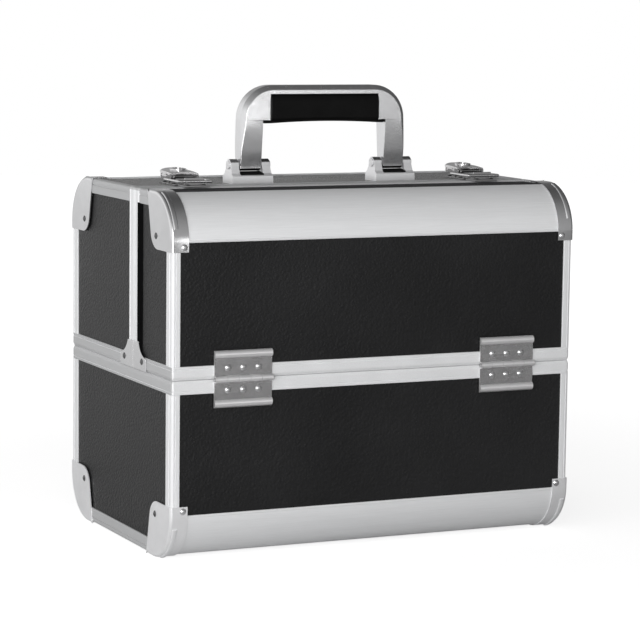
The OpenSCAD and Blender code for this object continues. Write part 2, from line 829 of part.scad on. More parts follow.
// Bracket from the side: a low foot with a round ear about the pivot
module bracket_side_outline() {
    translate([0, pivot_z]) circle(ear_r);
    ear_foot = ear_r + ear_spread;
    polygon([[-ear_r, pivot_z], [-ear_foot, sill_z + 1], [-bracket_d / 2, sill_z - 1],
        [-bracket_d / 2, top_z], [bracket_d / 2, top_z], [bracket_d / 2, sill_z - 1],
        [ear_foot, sill_z + 1], [ear_r, pivot_z]]);
}

module bracket() difference() {
    intersection() {
        translate([0, bracket_d, 0]) rotate([90, 0, 0]) linear_extrude(2 * bracket_d) bracket_front_outline();
        along_x(-bracket_w, bracket_w) bracket_side_outline();
    }
    block([-leg_w / 2 - leg_play, -bracket_d, sill_z], [leg_w / 2 + leg_play, bracket_d, crown_z]);
    along_x(-bracket_w, bracket_w) translate([0, pivot_z]) circle(handle_pin_r);
}

module handle_brackets() color("silver") for (x = [-leg_x, leg_x]) translate([x, 0, 0]) bracket();

module handle_pivots() color("silver") for (x = [-leg_x, leg_x])
    translate([x, 0, pivot_z]) rotate([0, 90, 0]) {
        cylinder(r = handle_pin_r, h = bracket_top_w, center = true);
        for (side = [-1, 1])
            translate([0, 0, side * (bracket_top_w + pin_head_t) / 2])
                cylinder(r = handle_pin_r + pin_head_rim, h = pin_head_t, center = true);
    }

// Handle from the front: two legs, round shoulders and a spine over the grip
module handle_front_outline() {
    out_x = leg_x + leg_w / 2;
    in_leg_x = leg_x - leg_w / 2;
    difference() {
        union() {
            for (side = [-1, 1]) translate([side * (out_x - crown_r), crown_z - crown_r]) circle(crown_r);
            translate([crown_r - out_x, crown_z - crown_r]) square([2 * (out_x - crown_r), crown_r]);
            translate([-out_x, pivot_z]) square([2 * out_x, crown_z - crown_r - pivot_z]);
        }
        translate([-in_leg_x, 0]) square([2 * in_leg_x, grip_z]);
        translate([-grip_l / 2, 0]) square([grip_l, grip_top_z]);
    }
}

// Handle from the side: slim legs that widen into the crown
module handle_side_outline() {
    half = [[leg_end_r, pivot_z], [leg_d / 2, pivot_z + knee_low], [leg_d / 2, pivot_z + knee_high],
        [crown_d / 2, grip_z], [crown_d / 2, crown_z - crown_bevel], [crown_d / 2 - crown_bevel, crown_z]];
    polygon(concat(half, [for (k = [len(half) - 1:-1:0]) [-half[k][0], half[k][1]]]));
}

module handle_frame() color("silver") difference() {
    union() {
        intersection() {
            translate([0, crown_d, 0]) rotate([90, 0, 0]) linear_extrude(2 * crown_d) handle_front_outline();
            along_x(-case_w, case_w) handle_side_outline();
        }
        for (x = [-leg_x, leg_x])
            translate([x - leg_w / 2, 0, pivot_z]) rotate([0, 90, 0]) cylinder(r = leg_end_r, h = leg_w);
    }
    along_x(-case_w, case_w) translate([0, pivot_z]) circle(handle_pin_r + pin_play);
}

// Grip between the shoulders, on a flat foot that reaches under them
module handle_grip() color([0.08, 0.08, 0.08]) {
    along_x(-grip_l / 2, grip_l / 2) intersection() {
        translate([0, grip_z + grip_h / 2]) circle(grip_d / 2 + grip_crown);
        translate([-grip_d / 2, grip_z - grip_foot_t]) square([grip_d, grip_h + grip_foot_t]);
    }
    block([-grip_l / 2 - grip_foot_l, -crown_d / 2, grip_z - grip_foot_t],
        [grip_l / 2 + grip_foot_l, crown_d / 2, grip_z - skin_gap]);
}

// ---------------------------------------------------------------- trays and arms

// Place of a pivot at distance r along an arm whose foot is at u, at lean degrees
function along_arm(u, r, lean) = [u + r * sin(lean) - axis_y, arm_z + r * cos(lean)];

// An open tray with dividers and the four holes for its rivets
module tray(depth, z, reach, lean, gap) {
    y0 = tray_u - axis_y;
    y1 = y0 + depth;
    pitch = (2 * tray_x - tray_t) / (divider_n + 1);
    difference() {
        block([-tray_x, y0, z], [tray_x, y1, z + tray_h]);
        block([tray_t - tray_x, y0 + tray_t, z + tray_t], [tray_x - tray_t, y1 - tray_t, z + tray_h + 1]);
        for (u = [lead_u, lead_u + gap])
            along_x(-case_w, case_w) translate(along_arm(u, reach, lean)) circle(pivot_r + pin_play);
    }
    for (k = [1:divider_n])
        block([k * pitch - tray_x, y0 + eps, z + eps],
            [k * pitch - tray_x + tray_t, y1 - eps, z + tray_h - divider_drop]);
}

// A pair of arms, left and right, with their foot at u
module arms(u, lean, link_r) both_sides() difference() {
    along_x(-arm_in_x - arm_t, -arm_in_x) difference() {
        translate([u - axis_y, arm_z]) rotate(-lean) {
            translate([-arm_w / 2, 0]) square([arm_w, arm_high]);
            circle(arm_w / 2);
            translate([0, arm_high]) circle(arm_w / 2);
        }
        translate([u - axis_y, arm_z]) circle(pivot_r + pin_play);
        translate(along_arm(u, arm_low, lean)) circle(pivot_r);
        translate(along_arm(u, arm_high, lean)) circle(pivot_r);
        if (link_r > 0) translate(along_arm(u, link_r, lean)) circle(link_pin_r);
    }
}

// A rivet that is fast in the arm and turns in the tray's wall
module tray_rivet() {
    wall = arm_in_x - tray_x + tray_t;
    translate([0, 0, -arm_t - head_t]) cylinder(r = stud_head_r, h = head_t);
    translate([0, 0, -arm_t - head_t]) cylinder(r = pivot_r, h = arm_t + 2 * head_t + wall + skin_gap);
    cylinder(r = stud_head_r, h = arm_in_x - tray_x - skin_gap);
    translate([0, 0, wall + skin_gap]) cylinder(r = stud_head_r, h = head_t);
}

// A rivet that is fast in the lead arm and carries the link
module link_rivet() {
    out = link_in_x + arm_t - arm_in_x + skin_gap;
    translate([0, 0, -out]) cylinder(r = link_pin_r, h = out + 0.5);
    translate([0, 0, -out - head_t + 0.1]) cylinder(r = stud_head_r, h = head_t - 0.1);
    translate([0, 0, arm_in_x + skin_gap - link_in_x]) cylinder(r = stud_head_r - 0.4,
        h = link_in_x - arm_in_x - arm_t - skin_gap);
    cylinder(r = stud_head_r - 0.4, h = 0.5);
}

module arm_rivets(u, lean, link_r) both_sides() {
    for (reach = [arm_low, arm_high]) at_arm(u, reach, lean) tray_rivet();
    if (link_r > 0) at_arm(u, link_r, lean) link_rivet();
}

// Stands a rivet on the inner face of the left arm, pointing into the case
module at_arm(u, reach, lean) {
    p = along_arm(u, reach, lean);
    translate([-arm_in_x, p[0], p[1]]) rotate([0, 90, 0]) children();
}

// Where the lid's stud lies, seen from the link's rivet in the link's own frame, at lid angle phi
function turned(p, a) = [p[0] * cos(a) - p[1] * sin(a), p[0] * sin(a) + p[1] * cos(a)];
function stud_place(phi, lean, swing, link_r) =
    let (th = lean - (lean + swing) * phi / lid_open,
        rivet_at = [lead_u + link_r * sin(th), arm_z - rim_z + link_r * cos(th)],
        stud_at = turned([stud_u, stud_z - rim_z], phi))
    turned(stud_at - rivet_at, -link_turn * phi);

// A pair of links from the lead arms to the lid's studs, with a slot that takes up the difference
module links(lean, swing, link_r) {
    foot = along_arm(lead_u, link_r, lean);
    steps = 12;
    path = [for (k = [0:steps]) stud_place(lid_open * k / steps, lean, swing, link_r)];
    middle = [(min([for (p = path) p[0]]) + max([for (p = path) p[0]])) / 2,
        (min([for (p = path) p[1]]) + max([for (p = path) p[1]])) / 2];
    both_sides() along_x(-link_in_x - arm_t, -link_in_x) translate(foot) difference() {
        union() {
            rotate(atan2(middle[1], middle[0]) - 90)
                translate([-link_w / 2, 0]) square([link_w, norm(middle)]);
            circle(link_w / 2);
            translate(middle) circle(link_w / 2 + 0.6);
        }
        circle(link_pin_r + pin_play);
        hull() for (p = path) translate(p) circle(slot_pin_r + slot_play, $fn = 32);
    }
}

module front_lower_tray() color([0.1, 0.1, 0.1])
    tray(front_tray_d, low_tray_z, arm_low, front_lean, front_arm_gap);

module front_upper_tray() color([0.1, 0.1, 0.1])
    tray(front_tray_d, high_tray_z, arm_high, front_lean, front_arm_gap);

module back_lower_tray() color([0.1, 0.1, 0.1])
    to_back() tray(back_tray_d, low_tray_z, arm_low, back_lean, back_arm_gap);

module back_upper_tray() color([0.1, 0.1, 0.1])
    to_back() tray(back_tray_d, high_tray_z, arm_high, back_lean, back_arm_gap);

module front_lead_arms() color("silver") arms(lead_u, front_lean, front_link_r);

module front_trail_arms() color("silver") arms(lead_u + front_arm_gap, front_lean, 0);

module back_lead_arms() color("silver") to_back() arms(lead_u, back_lean, back_link_r);

module back_trail_arms() color("silver") to_back() arms(lead_u + back_arm_gap, back_lean, 0);

module front_lead_rivets() color("gainsboro") arm_rivets(lead_u, front_lean, front_link_r);

module front_trail_rivets() color("gainsboro") arm_rivets(lead_u + front_arm_gap, front_lean, 0);

module back_lead_rivets() color("gainsboro") to_back() arm_rivets(lead_u, back_lean, back_link_r);

module back_trail_rivets() color("gainsboro") to_back() arm_rivets(lead_u + back_arm_gap, back_lean, 0);

module front_links() color("silver") links(front_lean, front_swing, front_link_r);

module back_links() color("silver") to_back() links(back_lean, back_swing, back_link_r);

// ---------------------------------------------------------------- nodes

base_front_panel();
base_back_panel();
base_side_panels();
floor_panel();
bottom_front_bar();
bottom_back_bar();
base_edge_rails();
base_rim_frame();
base_tongue();
base_corner_caps();
base_rivets();
hinge_lower_leaves();
hinge_pins();
front_lid_panel();
front_lid_side_panels();
front_lid_top_panel();
front_lid_bar();
front_lid_edge_rails();
front_lid_frame();
front_lid_corner_caps();
front_foot_plates();
front_lid_rivets();
front_hinge_leaves();
latch_strikes();
back_lid_panel();
back_lid_side_panels();
back_lid_top_panel();
back_lid_bar();
back_lid_edge_rails();
back_lid_frame();
back_lid_corner_caps();
back_foot_plates();
back_lid_rivets();
back_hinge_leaves();
latch_bases();
latch_pins();
handle_brackets();
handle_pivots();
handle_frame();
handle_grip();
lever_left();
lever_right();
hook_left();
hook_right();
lock_left();
lock_right();
front_lower_tray();
front_upper_tray();
back_lower_tray();
back_upper_tray();
front_lead_arms();
front_trail_arms();
back_lead_arms();
back_trail_arms();
front_lead_rivets();
front_trail_rivets();
back_lead_rivets();
back_trail_rivets();
front_links();
back_links();
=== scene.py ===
"""Looks of the makeup train case: finished outer pieces, materials, floor, light and camera.

Pieces are drawn in millimetres and made metres when they are finished.
"""

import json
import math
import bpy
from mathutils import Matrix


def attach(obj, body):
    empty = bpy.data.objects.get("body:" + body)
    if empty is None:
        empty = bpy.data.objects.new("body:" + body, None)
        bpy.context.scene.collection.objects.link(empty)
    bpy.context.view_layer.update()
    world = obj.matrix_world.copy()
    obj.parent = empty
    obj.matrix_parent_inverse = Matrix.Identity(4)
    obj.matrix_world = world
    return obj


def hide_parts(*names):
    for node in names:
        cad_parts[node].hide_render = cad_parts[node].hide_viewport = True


bl_info = {
    "name": "Makeup Train Case",
    "version": (1, 0, 0),
    "blender": (4, 5, 0),
    "location": "View3D > Sidebar > Train Case",
    "description": "Builds the finished outer pieces, materials and studio of a makeup train case",
    "category": "Object",
}

import bmesh
import bpy
from bpy.props import FloatProperty, FloatVectorProperty, PointerProperty
from mathutils import Matrix, Vector

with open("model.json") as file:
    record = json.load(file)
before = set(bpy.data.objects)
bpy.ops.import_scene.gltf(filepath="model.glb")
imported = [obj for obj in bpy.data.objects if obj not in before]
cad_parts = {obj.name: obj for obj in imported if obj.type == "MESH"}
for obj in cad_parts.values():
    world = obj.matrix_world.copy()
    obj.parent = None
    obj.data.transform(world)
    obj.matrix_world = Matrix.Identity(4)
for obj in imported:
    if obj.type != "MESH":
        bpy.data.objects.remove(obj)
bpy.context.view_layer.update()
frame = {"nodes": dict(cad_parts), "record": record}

BODY_OF = {node: body for body, nodes in frame["record"]["behaviour"]["bodies"].items() for node in nodes}

# The case in millimetres, as the CAD has it
HALF_W, HALF_D, TOP, FLOOR = 170.0, 109.0, 278.0, 0.9
EDGE_R, BAR_T = 36.0, 2.4
BAR_TOP, BAR_LOW = TOP - EDGE_R, FLOOR + EDGE_R
BOX_Z, LID_Z = 138.85, 139.15
RIM_W, RAIL_T = 10.4, 1.2
RAIL_FACE_W, RAIL_SIDE_W = 7.0, 11.5
FRONT_BACK_Y, BACK_FRONT_Y = -31.2, -30.8  # the lids' edges at the parting line
CAP_T, CAP_WRAP, CAP_CORNER, LEAF_T = 0.9, 14.0, 14.0, 1.2
CAP_DOWN, CAP_ALONG, CAP_TIP, CAP_CORNER_Y = 43.0, 45.5, 48.5, 38.73  # from the case's front and top faces
LATCH_X, LEVER_HALF = 125.0, 11.0
PIVOT_Z, CROWN_Z, CROWN_R = 291.5, 354.0, 27.0
LEG_OUT, LEG_IN, SILL_Z = 71.5, 53.5, 284.0
GRIP_Z, GRIP_TOP, GRIP_HALF = 326.5, 347.0, 47.0

# Details that the finish adds, in millimetres
SKIN_DEEP, SKIN_LOW = 3.2, 4.5  # the covered side of the boards, under the case's faces and over the ground
SHADED_LEVEL = math.cos(math.radians(12))  # how level a face on top of the front lid's bar must be to take the dark board: painted shade along that edge
FREE_ROUND = 0.5  # radius of the free edge of a rail or strip
FACE_GROOVE, SIDE_GROOVE = (2.3, 2.6, 3.3, 3.6), (4.0, 4.2, 5.1, 5.3)  # from a rail's corner
STRIP_GROOVE, STRIP_GROOVE_DEEP = (1.8, 2.0, 2.6, 2.8), 0.4  # from a strip's free edge
STRIP_LIP, RIM_WEB, FRAME_WEB = 0.95, 5.4, 5.2
RIDGE_INNER, RIDGE_OUTER, RIDGE_START = 164.8, 168.6, 10.0
RIDGE_SUNK, RIDGE_RISE, RIDGE_ROUND = 0.4, 1.0, 1.2
FOOT_Z, PIVOT_DEEP, BOW_DEEP = PIVOT_Z - 3, 5.0, 8.5  # depths are half the handle's thickness
LEG_DEPTHS = ((297.5, 6.0), (304.0, 6.6), (311.5, 7.4), (319.0, 8.1), (GRIP_Z, BOW_DEEP))  # height, depth
FACET_LOW, FACET_LOW_Z = 0.6, 304.0  # the facet narrows to this width down to this height
GRIP_DEEP, GRIP_DROP, LIP_LONG, LIP_DROP, LIP_T, GRIP_ARCH = 10.5, 1.2, 5.5, 2.4, 2.3, 1.5
# Sizes of the black bushes and rests: painted shade in the slot under each leg of the handle.
BUSH_R, REST_DEEP, REST_LOW, REST_HIGH = 4.95, 9.2, 0.9, 2.4
EAR_TOP_Z = PIVOT_Z + 2
LEVER_SIDE_Z = TOP + 6.2  # under this height a lever shows its sides, which take the darker base nickel as painted shade
CAMBER_SIDE, CAMBER_FRONT, CAMBER_REACH, CAMBER_STEP = 1.3, 1.0, 17.0, 3.5
# Where the black strips beside the parting rails stand: painted shade along the rails' front edges.
SHADE_STRIP_X, SHADE_STRIP_LOW, SHADE_STRIP_OVER_LOW, SHADE_STRIP_HIGH = 168.75, 151.0, 160.6, 267.0

# The studio and the camera in metres
STAGE_R, STAGE_DARK, STAGE_LIGHT = 4.0, (0.47, 0.47, 0.47), (0.51, 0.51, 0.51)
STAGE_WHITE = (0.4, 1.6, 0.8, 1.0)  # from this distance to that, the white goes from this level to that
STAGE_SHEEN = (-0.6, 0.0, 0.55, 0.04)  # the same from left to right, as the metal sees it
AIMED_AT = Vector((0, 0, 0.16))
LAMPS = (  # name, place, width, power in watts, seen in the metal
    ("key_left", (-1.7, -1.15, 0.45), 1.4, 13.5, False),
    ("front_soft", (-0.9, -1.7, 0.42), 1.0, 12.5, True),
    ("front_spot", (0.65, -1.83, 0.25), 0.32, 0.8, True))
# Levels of the studio air for the metal, against a direction's depth, side or height from -1 to 1
WORLD_BY_DEPTH = (
    (-1, 0.45), (-0.85, 0.38), (-0.55, 0.26), (-0.1, 0.13), (0.35, 0.09), (0.75, 0.13), (0.92, 0.4), (1, 0.5))
WORLD_BY_SIDE = ((-1, 1.0), (-0.35, 1.0), (-0.15, 0.75), (0.12, 0.1), (1, 0.0))
WORLD_BY_HEIGHT = ((-1, 1.0), (0.35, 1.0), (0.6, 0.45), (1, 0.2))
CAMERA_AT = (-0.88063, -1.89285, 0.42573)
CAMERA_RIGHT, CAMERA_UP, CAMERA_AHEAD = (
    (0.90694, -0.42108, 0.01216), (0.04119, 0.11738, 0.99223), (0.41924, 0.89940, -0.12380))
CAMERA_LENS, CAMERA_FILM = 147.02, 36.0  # these two in millimetres


# ---------------------------------------------------------------- settings


def size_setting(name, description, default, low, high):
    """A setting in metres."""
    return FloatProperty(
        name=name, description=description, default=default, min=low, max=high, unit="LENGTH")


def colour_setting(name, description, default):
    """A colour setting."""
    return FloatVectorProperty(
        name=name, description=description, subtype="COLOR", default=default, min=0.0, max=1.0)


class CaseSizes(bpy.types.PropertyGroup):
    """Sizes of the outer pieces that the finish depends on"""

    rail_round: size_setting(
        "Rail corner", "Radius of an aluminium rail's outer corner", 0.0022, 0.001, 0.0023)
    groove: size_setting("Rail groove", "Depth of the drawn groove along each rail", 0.0005, 0.0, 0.0008)
    strip_slope: size_setting(
        "Strip slope", "Width of the sloping edge of a rim strip along the gap", 0.0023, 0.001, 0.003)
    bar_lip: size_setting(
        "Bar lip", "Radius of the bead along a rounded bar's upright edge", 0.0011, 0.0006, 0.002)
    cap_round: size_setting(
        "Cap edge", "Radius of the fold between a cap's flange and its wrap", 0.0024, 0.0008, 0.003)
    handle_facet: size_setting(
        "Handle facet", "Width of the flat facet along the handle's outer edge", 0.0036, 0.001, 0.004)
    pebble: size_setting(
        "Pebble depth", "Depth of the pebbled grain on the covered boards", 0.00042, 0.0, 0.0008)


class CaseColours(bpy.types.PropertyGroup):
    """Colours of the case's finishes"""

    board: colour_setting("Covered board", "Pebbled black covering of the boards", (0.013, 0.013, 0.0135))
    lining: colour_setting("Lining", "Felt inside the case", (0.022, 0.022, 0.024))
    aluminium: colour_setting("Aluminium", "Satin rails and rounded bars", (0.86, 0.865, 0.875))
    chrome: colour_setting("Chrome", "Plated corner caps and handle", (0.72, 0.72, 0.73))
    nickel: colour_setting("Nickel", "Plated hinges and latches", (0.56, 0.555, 0.56))
    steel: colour_setting("Steel", "Rivets, arms and links", (0.55, 0.55, 0.56))
    # The grip colour, a little lighter, also makes the black bushes and rests: painted shade under the
    # handle's legs.
    grip: colour_setting("Grip", "Moulded grip, bushes and rests", (0.006, 0.006, 0.006))
    tray: colour_setting("Trays", "Moulded trays", (0.012, 0.012, 0.012))


def mm(length):
    return length * 1000.0


# ---------------------------------------------------------------- modelling


def rounded_face(bm, corners, place):
    """One face through corners (u, v) or (u, v, radius), each radius cut as a true arc."""
    corners = [corner if len(corner) == 3 else (*corner, 0.0) for corner in corners]
    verts = [bm.verts.new(place(u, v)) for u, v, _ in corners]
    bm.faces.new(verts)
    spots = [vert.co.copy() for vert in verts]
    for k, (_, _, radius) in enumerate(corners):
        if radius > 0:
            before, after = spots[k - 1] - spots[k], spots[(k + 1) % len(spots)] - spots[k]
            angle = before.angle(after)
            bmesh.ops.bevel(
                bm, geom=[verts[k]], offset=radius / math.tan(angle / 2), offset_type="OFFSET",
                segments=max(2, round((math.pi - angle) / math.radians(arc_step(radius)))),
                profile=0.5, affect="VERTICES", material=-1)


def arc_step(radius):
    """Degrees from one corner of an arc to the next, finer on the large ones."""
    return 5 if radius > 20 else 8 if radius > 5 else 15


def new_verts(grown):
    return [item for item in grown["geom"] if isinstance(item, bmesh.types.BMVert)]


def prism(corners, place, way):
    """A solid with the corners' outline, pushed along way."""
    bm = bmesh.new()
    rounded_face(bm, corners, place)
    grown = bmesh.ops.extrude_face_region(bm, geom=bm.faces[:])
    bmesh.ops.translate(bm, vec=way, verts=new_verts(grown))
    bmesh.ops.recalc_face_normals(bm, faces=bm.faces[:])
    return bm


def spun(corners, place, centre, angle, steps):
    """A solid with the corners' outline, turned about the X axis through centre by angle in degrees."""
    bm = bmesh.new()
    rounded_face(bm, corners, place)
    bmesh.ops.spin(
        bm, geom=bm.verts[:] + bm.edges[:] + bm.faces[:], cent=centre, axis=(1, 0, 0),
        angle=math.radians(angle), steps=steps, use_merge=False, use_duplicate=False)
    bmesh.ops.recalc_face_normals(bm, faces=bm.faces[:])
    return bm


def ring(section, stations):
    """A closed ring: the section (d, h) carried through the stations, which place (d, h) in space."""
    bm = bmesh.new()
    rounded_face(bm, section, lambda d, h: Vector((d, h, 0)))
    bmesh.ops.delete(bm, geom=bm.faces[:], context="FACES_ONLY")
    spot = {vert: (vert.co.x, vert.co.y) for vert in bm.verts}
    for vert, (d, h) in spot.items():
        vert.co = stations[0](d, h)
    edges = bm.edges[:]
    for station in stations[1:] + stations[:1]:
        grown = bmesh.ops.extrude_edge_only(bm, edges=edges)
        placed = {}
        for vert in new_verts(grown):
            origin = next(e.other_vert(vert) for e in vert.link_edges if e.other_vert(vert) in spot)
            placed[vert] = spot[origin]
        edges = [e for e in grown["geom"] if isinstance(e, bmesh.types.BMEdge)
                 and e.verts[0] in placed and e.verts[1] in placed]
        for vert, (d, h) in placed.items():
            vert.co = station(d, h)
        spot = placed
    bmesh.ops.remove_doubles(bm, verts=bm.verts[:], dist=1e-4)
    bmesh.ops.dissolve_degenerate(bm, dist=1e-4, edges=bm.edges[:])
    bmesh.ops.recalc_face_normals(bm, faces=bm.faces[:])
    return bm


def rod(start, end, radius, segments=20):
    """A round rod between two points."""
    start, end = Vector(start), Vector(end)
    bm = bmesh.new()
    turn = (end - start).to_track_quat("Z", "Y").to_matrix().to_4x4()
    bmesh.ops.create_cone(
        bm, cap_ends=True, cap_tris=False, segments=segments, radius1=radius, radius2=radius,
        depth=(end - start).length, matrix=Matrix.Translation((start + end) / 2) @ turn)
    return bm


def soften(bm, width, segments=2, least=30.0, near=None):
    """Rounds the edges that turn by more than least degrees, or those of them that near picks."""
    edges = [e for e in bm.edges if e.is_manifold and e.calc_face_angle() > math.radians(least)
             and (near is None or near(e))]
    if edges:
        bmesh.ops.bevel(
            bm, geom=edges, offset=width, offset_type="OFFSET", segments=segments,
            profile=0.5, affect="EDGES", clamp_overlap=True, material=-1)
    return bm


def score(bm, place, normal):
    """Adds edges where a plane through place crosses the part."""
    bmesh.ops.bisect_plane(bm, geom=bm.verts[:] + bm.edges[:] + bm.faces[:], plane_co=place, plane_no=normal)


def moved(bm, matrix):
    """A copy of the part, moved, turned or mirrored."""
    copy = bm.copy()
    bmesh.ops.transform(copy, matrix=matrix, verts=copy.verts[:])
    if matrix.determinant() < 0:
        bmesh.ops.reverse_faces(copy, faces=copy.faces[:])
    return copy


def mirrored(bm, axis, at=0.0):
    """A copy of the part, mirrored across the plane axis = at."""
    normal = Vector([1.0 if name == axis else 0.0 for name in "XYZ"])
    shift = Matrix.Translation(normal * at)
    return moved(bm, shift @ Matrix.Scale(-1, 4, normal) @ shift.inverted())


def both_sides(parts):
    return parts + [mirrored(part, "X") for part in parts]


def to_back(parts):
    return [mirrored(part, "Y") for part in parts]


def to_bottom(parts):
    return [mirrored(part, "Z", (TOP + FLOOR) / 2) for part in parts]


def cad_copy(node, width=0.0, segments=2):
    """The CAD node's own shape in millimetres, with its edges rounded by width."""
    bm = bmesh.new()
    bm.from_mesh(frame["nodes"][node].data)
    bmesh.ops.scale(bm, vec=(1000, 1000, 1000), verts=bm.verts[:])
    bmesh.ops.remove_doubles(bm, verts=bm.verts[:], dist=0.002)
    bmesh.ops.dissolve_limit(
        bm, angle_limit=math.radians(0.6), use_dissolve_boundaries=False,
        verts=bm.verts[:], edges=bm.edges[:])
    bmesh.ops.recalc_face_normals(bm, faces=bm.faces[:])
    if width:
        soften(bm, width, segments)
    return bm


def joined(parts):
    """All the parts in one bmesh."""
    whole = bmesh.new()
    for part in parts:
        scrap = bpy.data.meshes.new("scrap")
        part.to_mesh(scrap)
        part.free()
        whole.from_mesh(scrap)
        bpy.data.meshes.remove(scrap)
    return whole


def finish_piece(name, parts, material, nodes=(), body=None, smooth=38.0):
    """Makes the parts one object in metres that rides with its nodes' body and stands for them."""
    bm = joined(parts)
    bmesh.ops.scale(bm, vec=(0.001, 0.001, 0.001), verts=bm.verts[:])
    mesh = bpy.data.meshes.new(name)
    bm.to_mesh(mesh)
    bm.free()
    mesh.materials.append(material)
    mesh.shade_smooth()
    mesh.set_sharp_from_angle(angle=math.radians(smooth))
    piece = bpy.data.objects.new(name, mesh)
    bpy.context.scene.collection.objects.link(piece)
    even = piece.modifiers.new("Even shading", "WEIGHTED_NORMAL")
    even.keep_sharp = True
    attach(piece, body or BODY_OF[nodes[0]])
    if nodes:
        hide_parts(*nodes)
    return piece


def soft_copies(nodes, width, suffix, material):
    """Finishes each CAD node in its own shape, with its edges rounded by width."""
    return [finish_piece(node + suffix, [cad_copy(node, width)], material, [node]) for node in nodes]


def refinish(piece, material, picks):
    """Gives a further material to the faces that picks chooses."""
    piece.data.materials.append(material)
    for face in piece.data.polygons:
        if picks(face):
            face.material_index = len(piece.data.materials) - 1


# ---------------------------------------------------------------- node tools


def node_of(tree, kind, **settings):
    node = tree.nodes.new(kind)
    for name, value in settings.items():
        setattr(node, name, value)
    return node


def noise(tree, vector, scale, detail=3.0, roughness=0.5):
    node = node_of(tree, "ShaderNodeTexNoise")
    node.inputs["Scale"].default_value = scale
    node.inputs["Detail"].default_value = detail
    node.inputs["Roughness"].default_value = roughness
    tree.links.new(vector, node.inputs["Vector"])
    return node.outputs["Fac"]


def stretched(tree, vector, scale):
    node = node_of(tree, "ShaderNodeMapping")
    node.inputs["Scale"].default_value = scale
    tree.links.new(vector, node.inputs["Vector"])
    return node.outputs["Vector"]


def maths(tree, operation, a, b):
    node = node_of(tree, "ShaderNodeMath", operation=operation)
    for socket, value in zip(node.inputs, (a, b)):
        if isinstance(value, (int, float)):
            socket.default_value = value
        else:
            tree.links.new(value, socket)
    return node.outputs[0]


def weighed(tree, first, second, share):
    """The first value times its share, and the second times what that leaves of one."""
    part, rest = maths(tree, "MULTIPLY", first, share), maths(tree, "MULTIPLY", second, 1 - share)
    return maths(tree, "ADD", part, rest)


def ranged(tree, value, low, high, to_low, to_high):
    node = node_of(tree, "ShaderNodeMapRange")
    for name, number in zip(("From Min", "From Max", "To Min", "To Max"), (low, high, to_low, to_high)):
        node.inputs[name].default_value = number
    tree.links.new(value, node.inputs["Value"])
    return node.outputs["Result"]


def blended(tree, factor, first, second):
    """Mixes two colours, each a colour or a socket."""
    node = node_of(tree, "ShaderNodeMix", data_type="RGBA")
    tree.links.new(factor, node.inputs[0])
    for socket, value in zip((node.inputs[6], node.inputs[7]), (first, second)):
        if isinstance(value, bpy.types.NodeSocket):
            tree.links.new(value, socket)
        else:
            socket.default_value = (*value, 1.0)
    return node.outputs[2]


def surface_group(name, draw):
    """A shared group from object coordinates to tone, gloss and height, each from 0 to 1."""
    tree = bpy.data.node_groups.new(name, "ShaderNodeTree")
    tree.interface.new_socket("Vector", in_out="INPUT", socket_type="NodeSocketVector")
    for output in ("Tone", "Gloss", "Height"):
        tree.interface.new_socket(output, in_out="OUTPUT", socket_type="NodeSocketFloat")
    start, end = node_of(tree, "NodeGroupInput"), node_of(tree, "NodeGroupOutput")
    for output, value in zip(("Tone", "Gloss", "Height"), draw(tree, start.outputs["Vector"])):
        tree.links.new(value, end.inputs[output])
    return tree


def draw_pebble(tree, vector):
    """Leather-like pebbles of about a millimetre, with soft blotches of wear."""
    cells = node_of(tree, "ShaderNodeTexVoronoi", feature="SMOOTH_F1")
    cells.inputs["Scale"].default_value = 520
    cells.inputs["Smoothness"].default_value = 0.6
    tree.links.new(vector, cells.inputs["Vector"])
    fine = noise(tree, vector, 1700, 2)
    height = maths(tree, "SUBTRACT", maths(tree, "MULTIPLY", fine, 0.5), cells.outputs["Distance"])
    blotch = noise(tree, vector, 9, 4)
    return weighed(tree, blotch, fine, 0.6), weighed(tree, blotch, fine, 0.5), height


def draw_brushed(tree, vector):
    """Fine drawn lines along the stretched direction, with faint handling marks."""
    lines = noise(tree, vector, 1.0, 4, 0.7)
    marks = noise(tree, vector, 0.05, 3)
    return weighed(tree, lines, marks, 0.6), weighed(tree, lines, marks, 0.5), lines


def draw_smooth(tree, vector):
    """A plated or moulded skin: broad unevenness, smudges and small specks."""
    broad = noise(tree, vector, 22, 3)
    smudge = noise(tree, vector, 75, 5, 0.65)
    speck = noise(tree, vector, 2400, 2)
    return smudge, weighed(tree, smudge, speck, 0.7), weighed(tree, broad, speck, 0.8)


SKINS = {"pebbled_skin": draw_pebble, "brushed_skin": draw_brushed, "smooth_skin": draw_smooth}


def skin_group(name):
    """The shared group of that skin, drawn the first time it is asked for."""
    return bpy.data.node_groups.get(name) or surface_group(name, SKINS[name])


def inside_case(tree, vector):
    """1 where a point lies behind the boards' outer skin, 0 on the outside."""
    spot = node_of(tree, "ShaderNodeSeparateXYZ")
    flat = node_of(tree, "ShaderNodeVectorMath", operation="ABSOLUTE")
    tree.links.new(vector, flat.inputs[0])
    tree.links.new(flat.outputs[0], spot.inputs[0])
    mask = maths(tree, "GREATER_THAN", spot.outputs["Z"], SKIN_LOW / 1000)
    for axis, reach in (("X", HALF_W), ("Y", HALF_D), ("Z", TOP)):
        within = maths(tree, "LESS_THAN", spot.outputs[axis], (reach - SKIN_DEEP) / 1000)
        mask = maths(tree, "MULTIPLY", mask, within)
    return mask


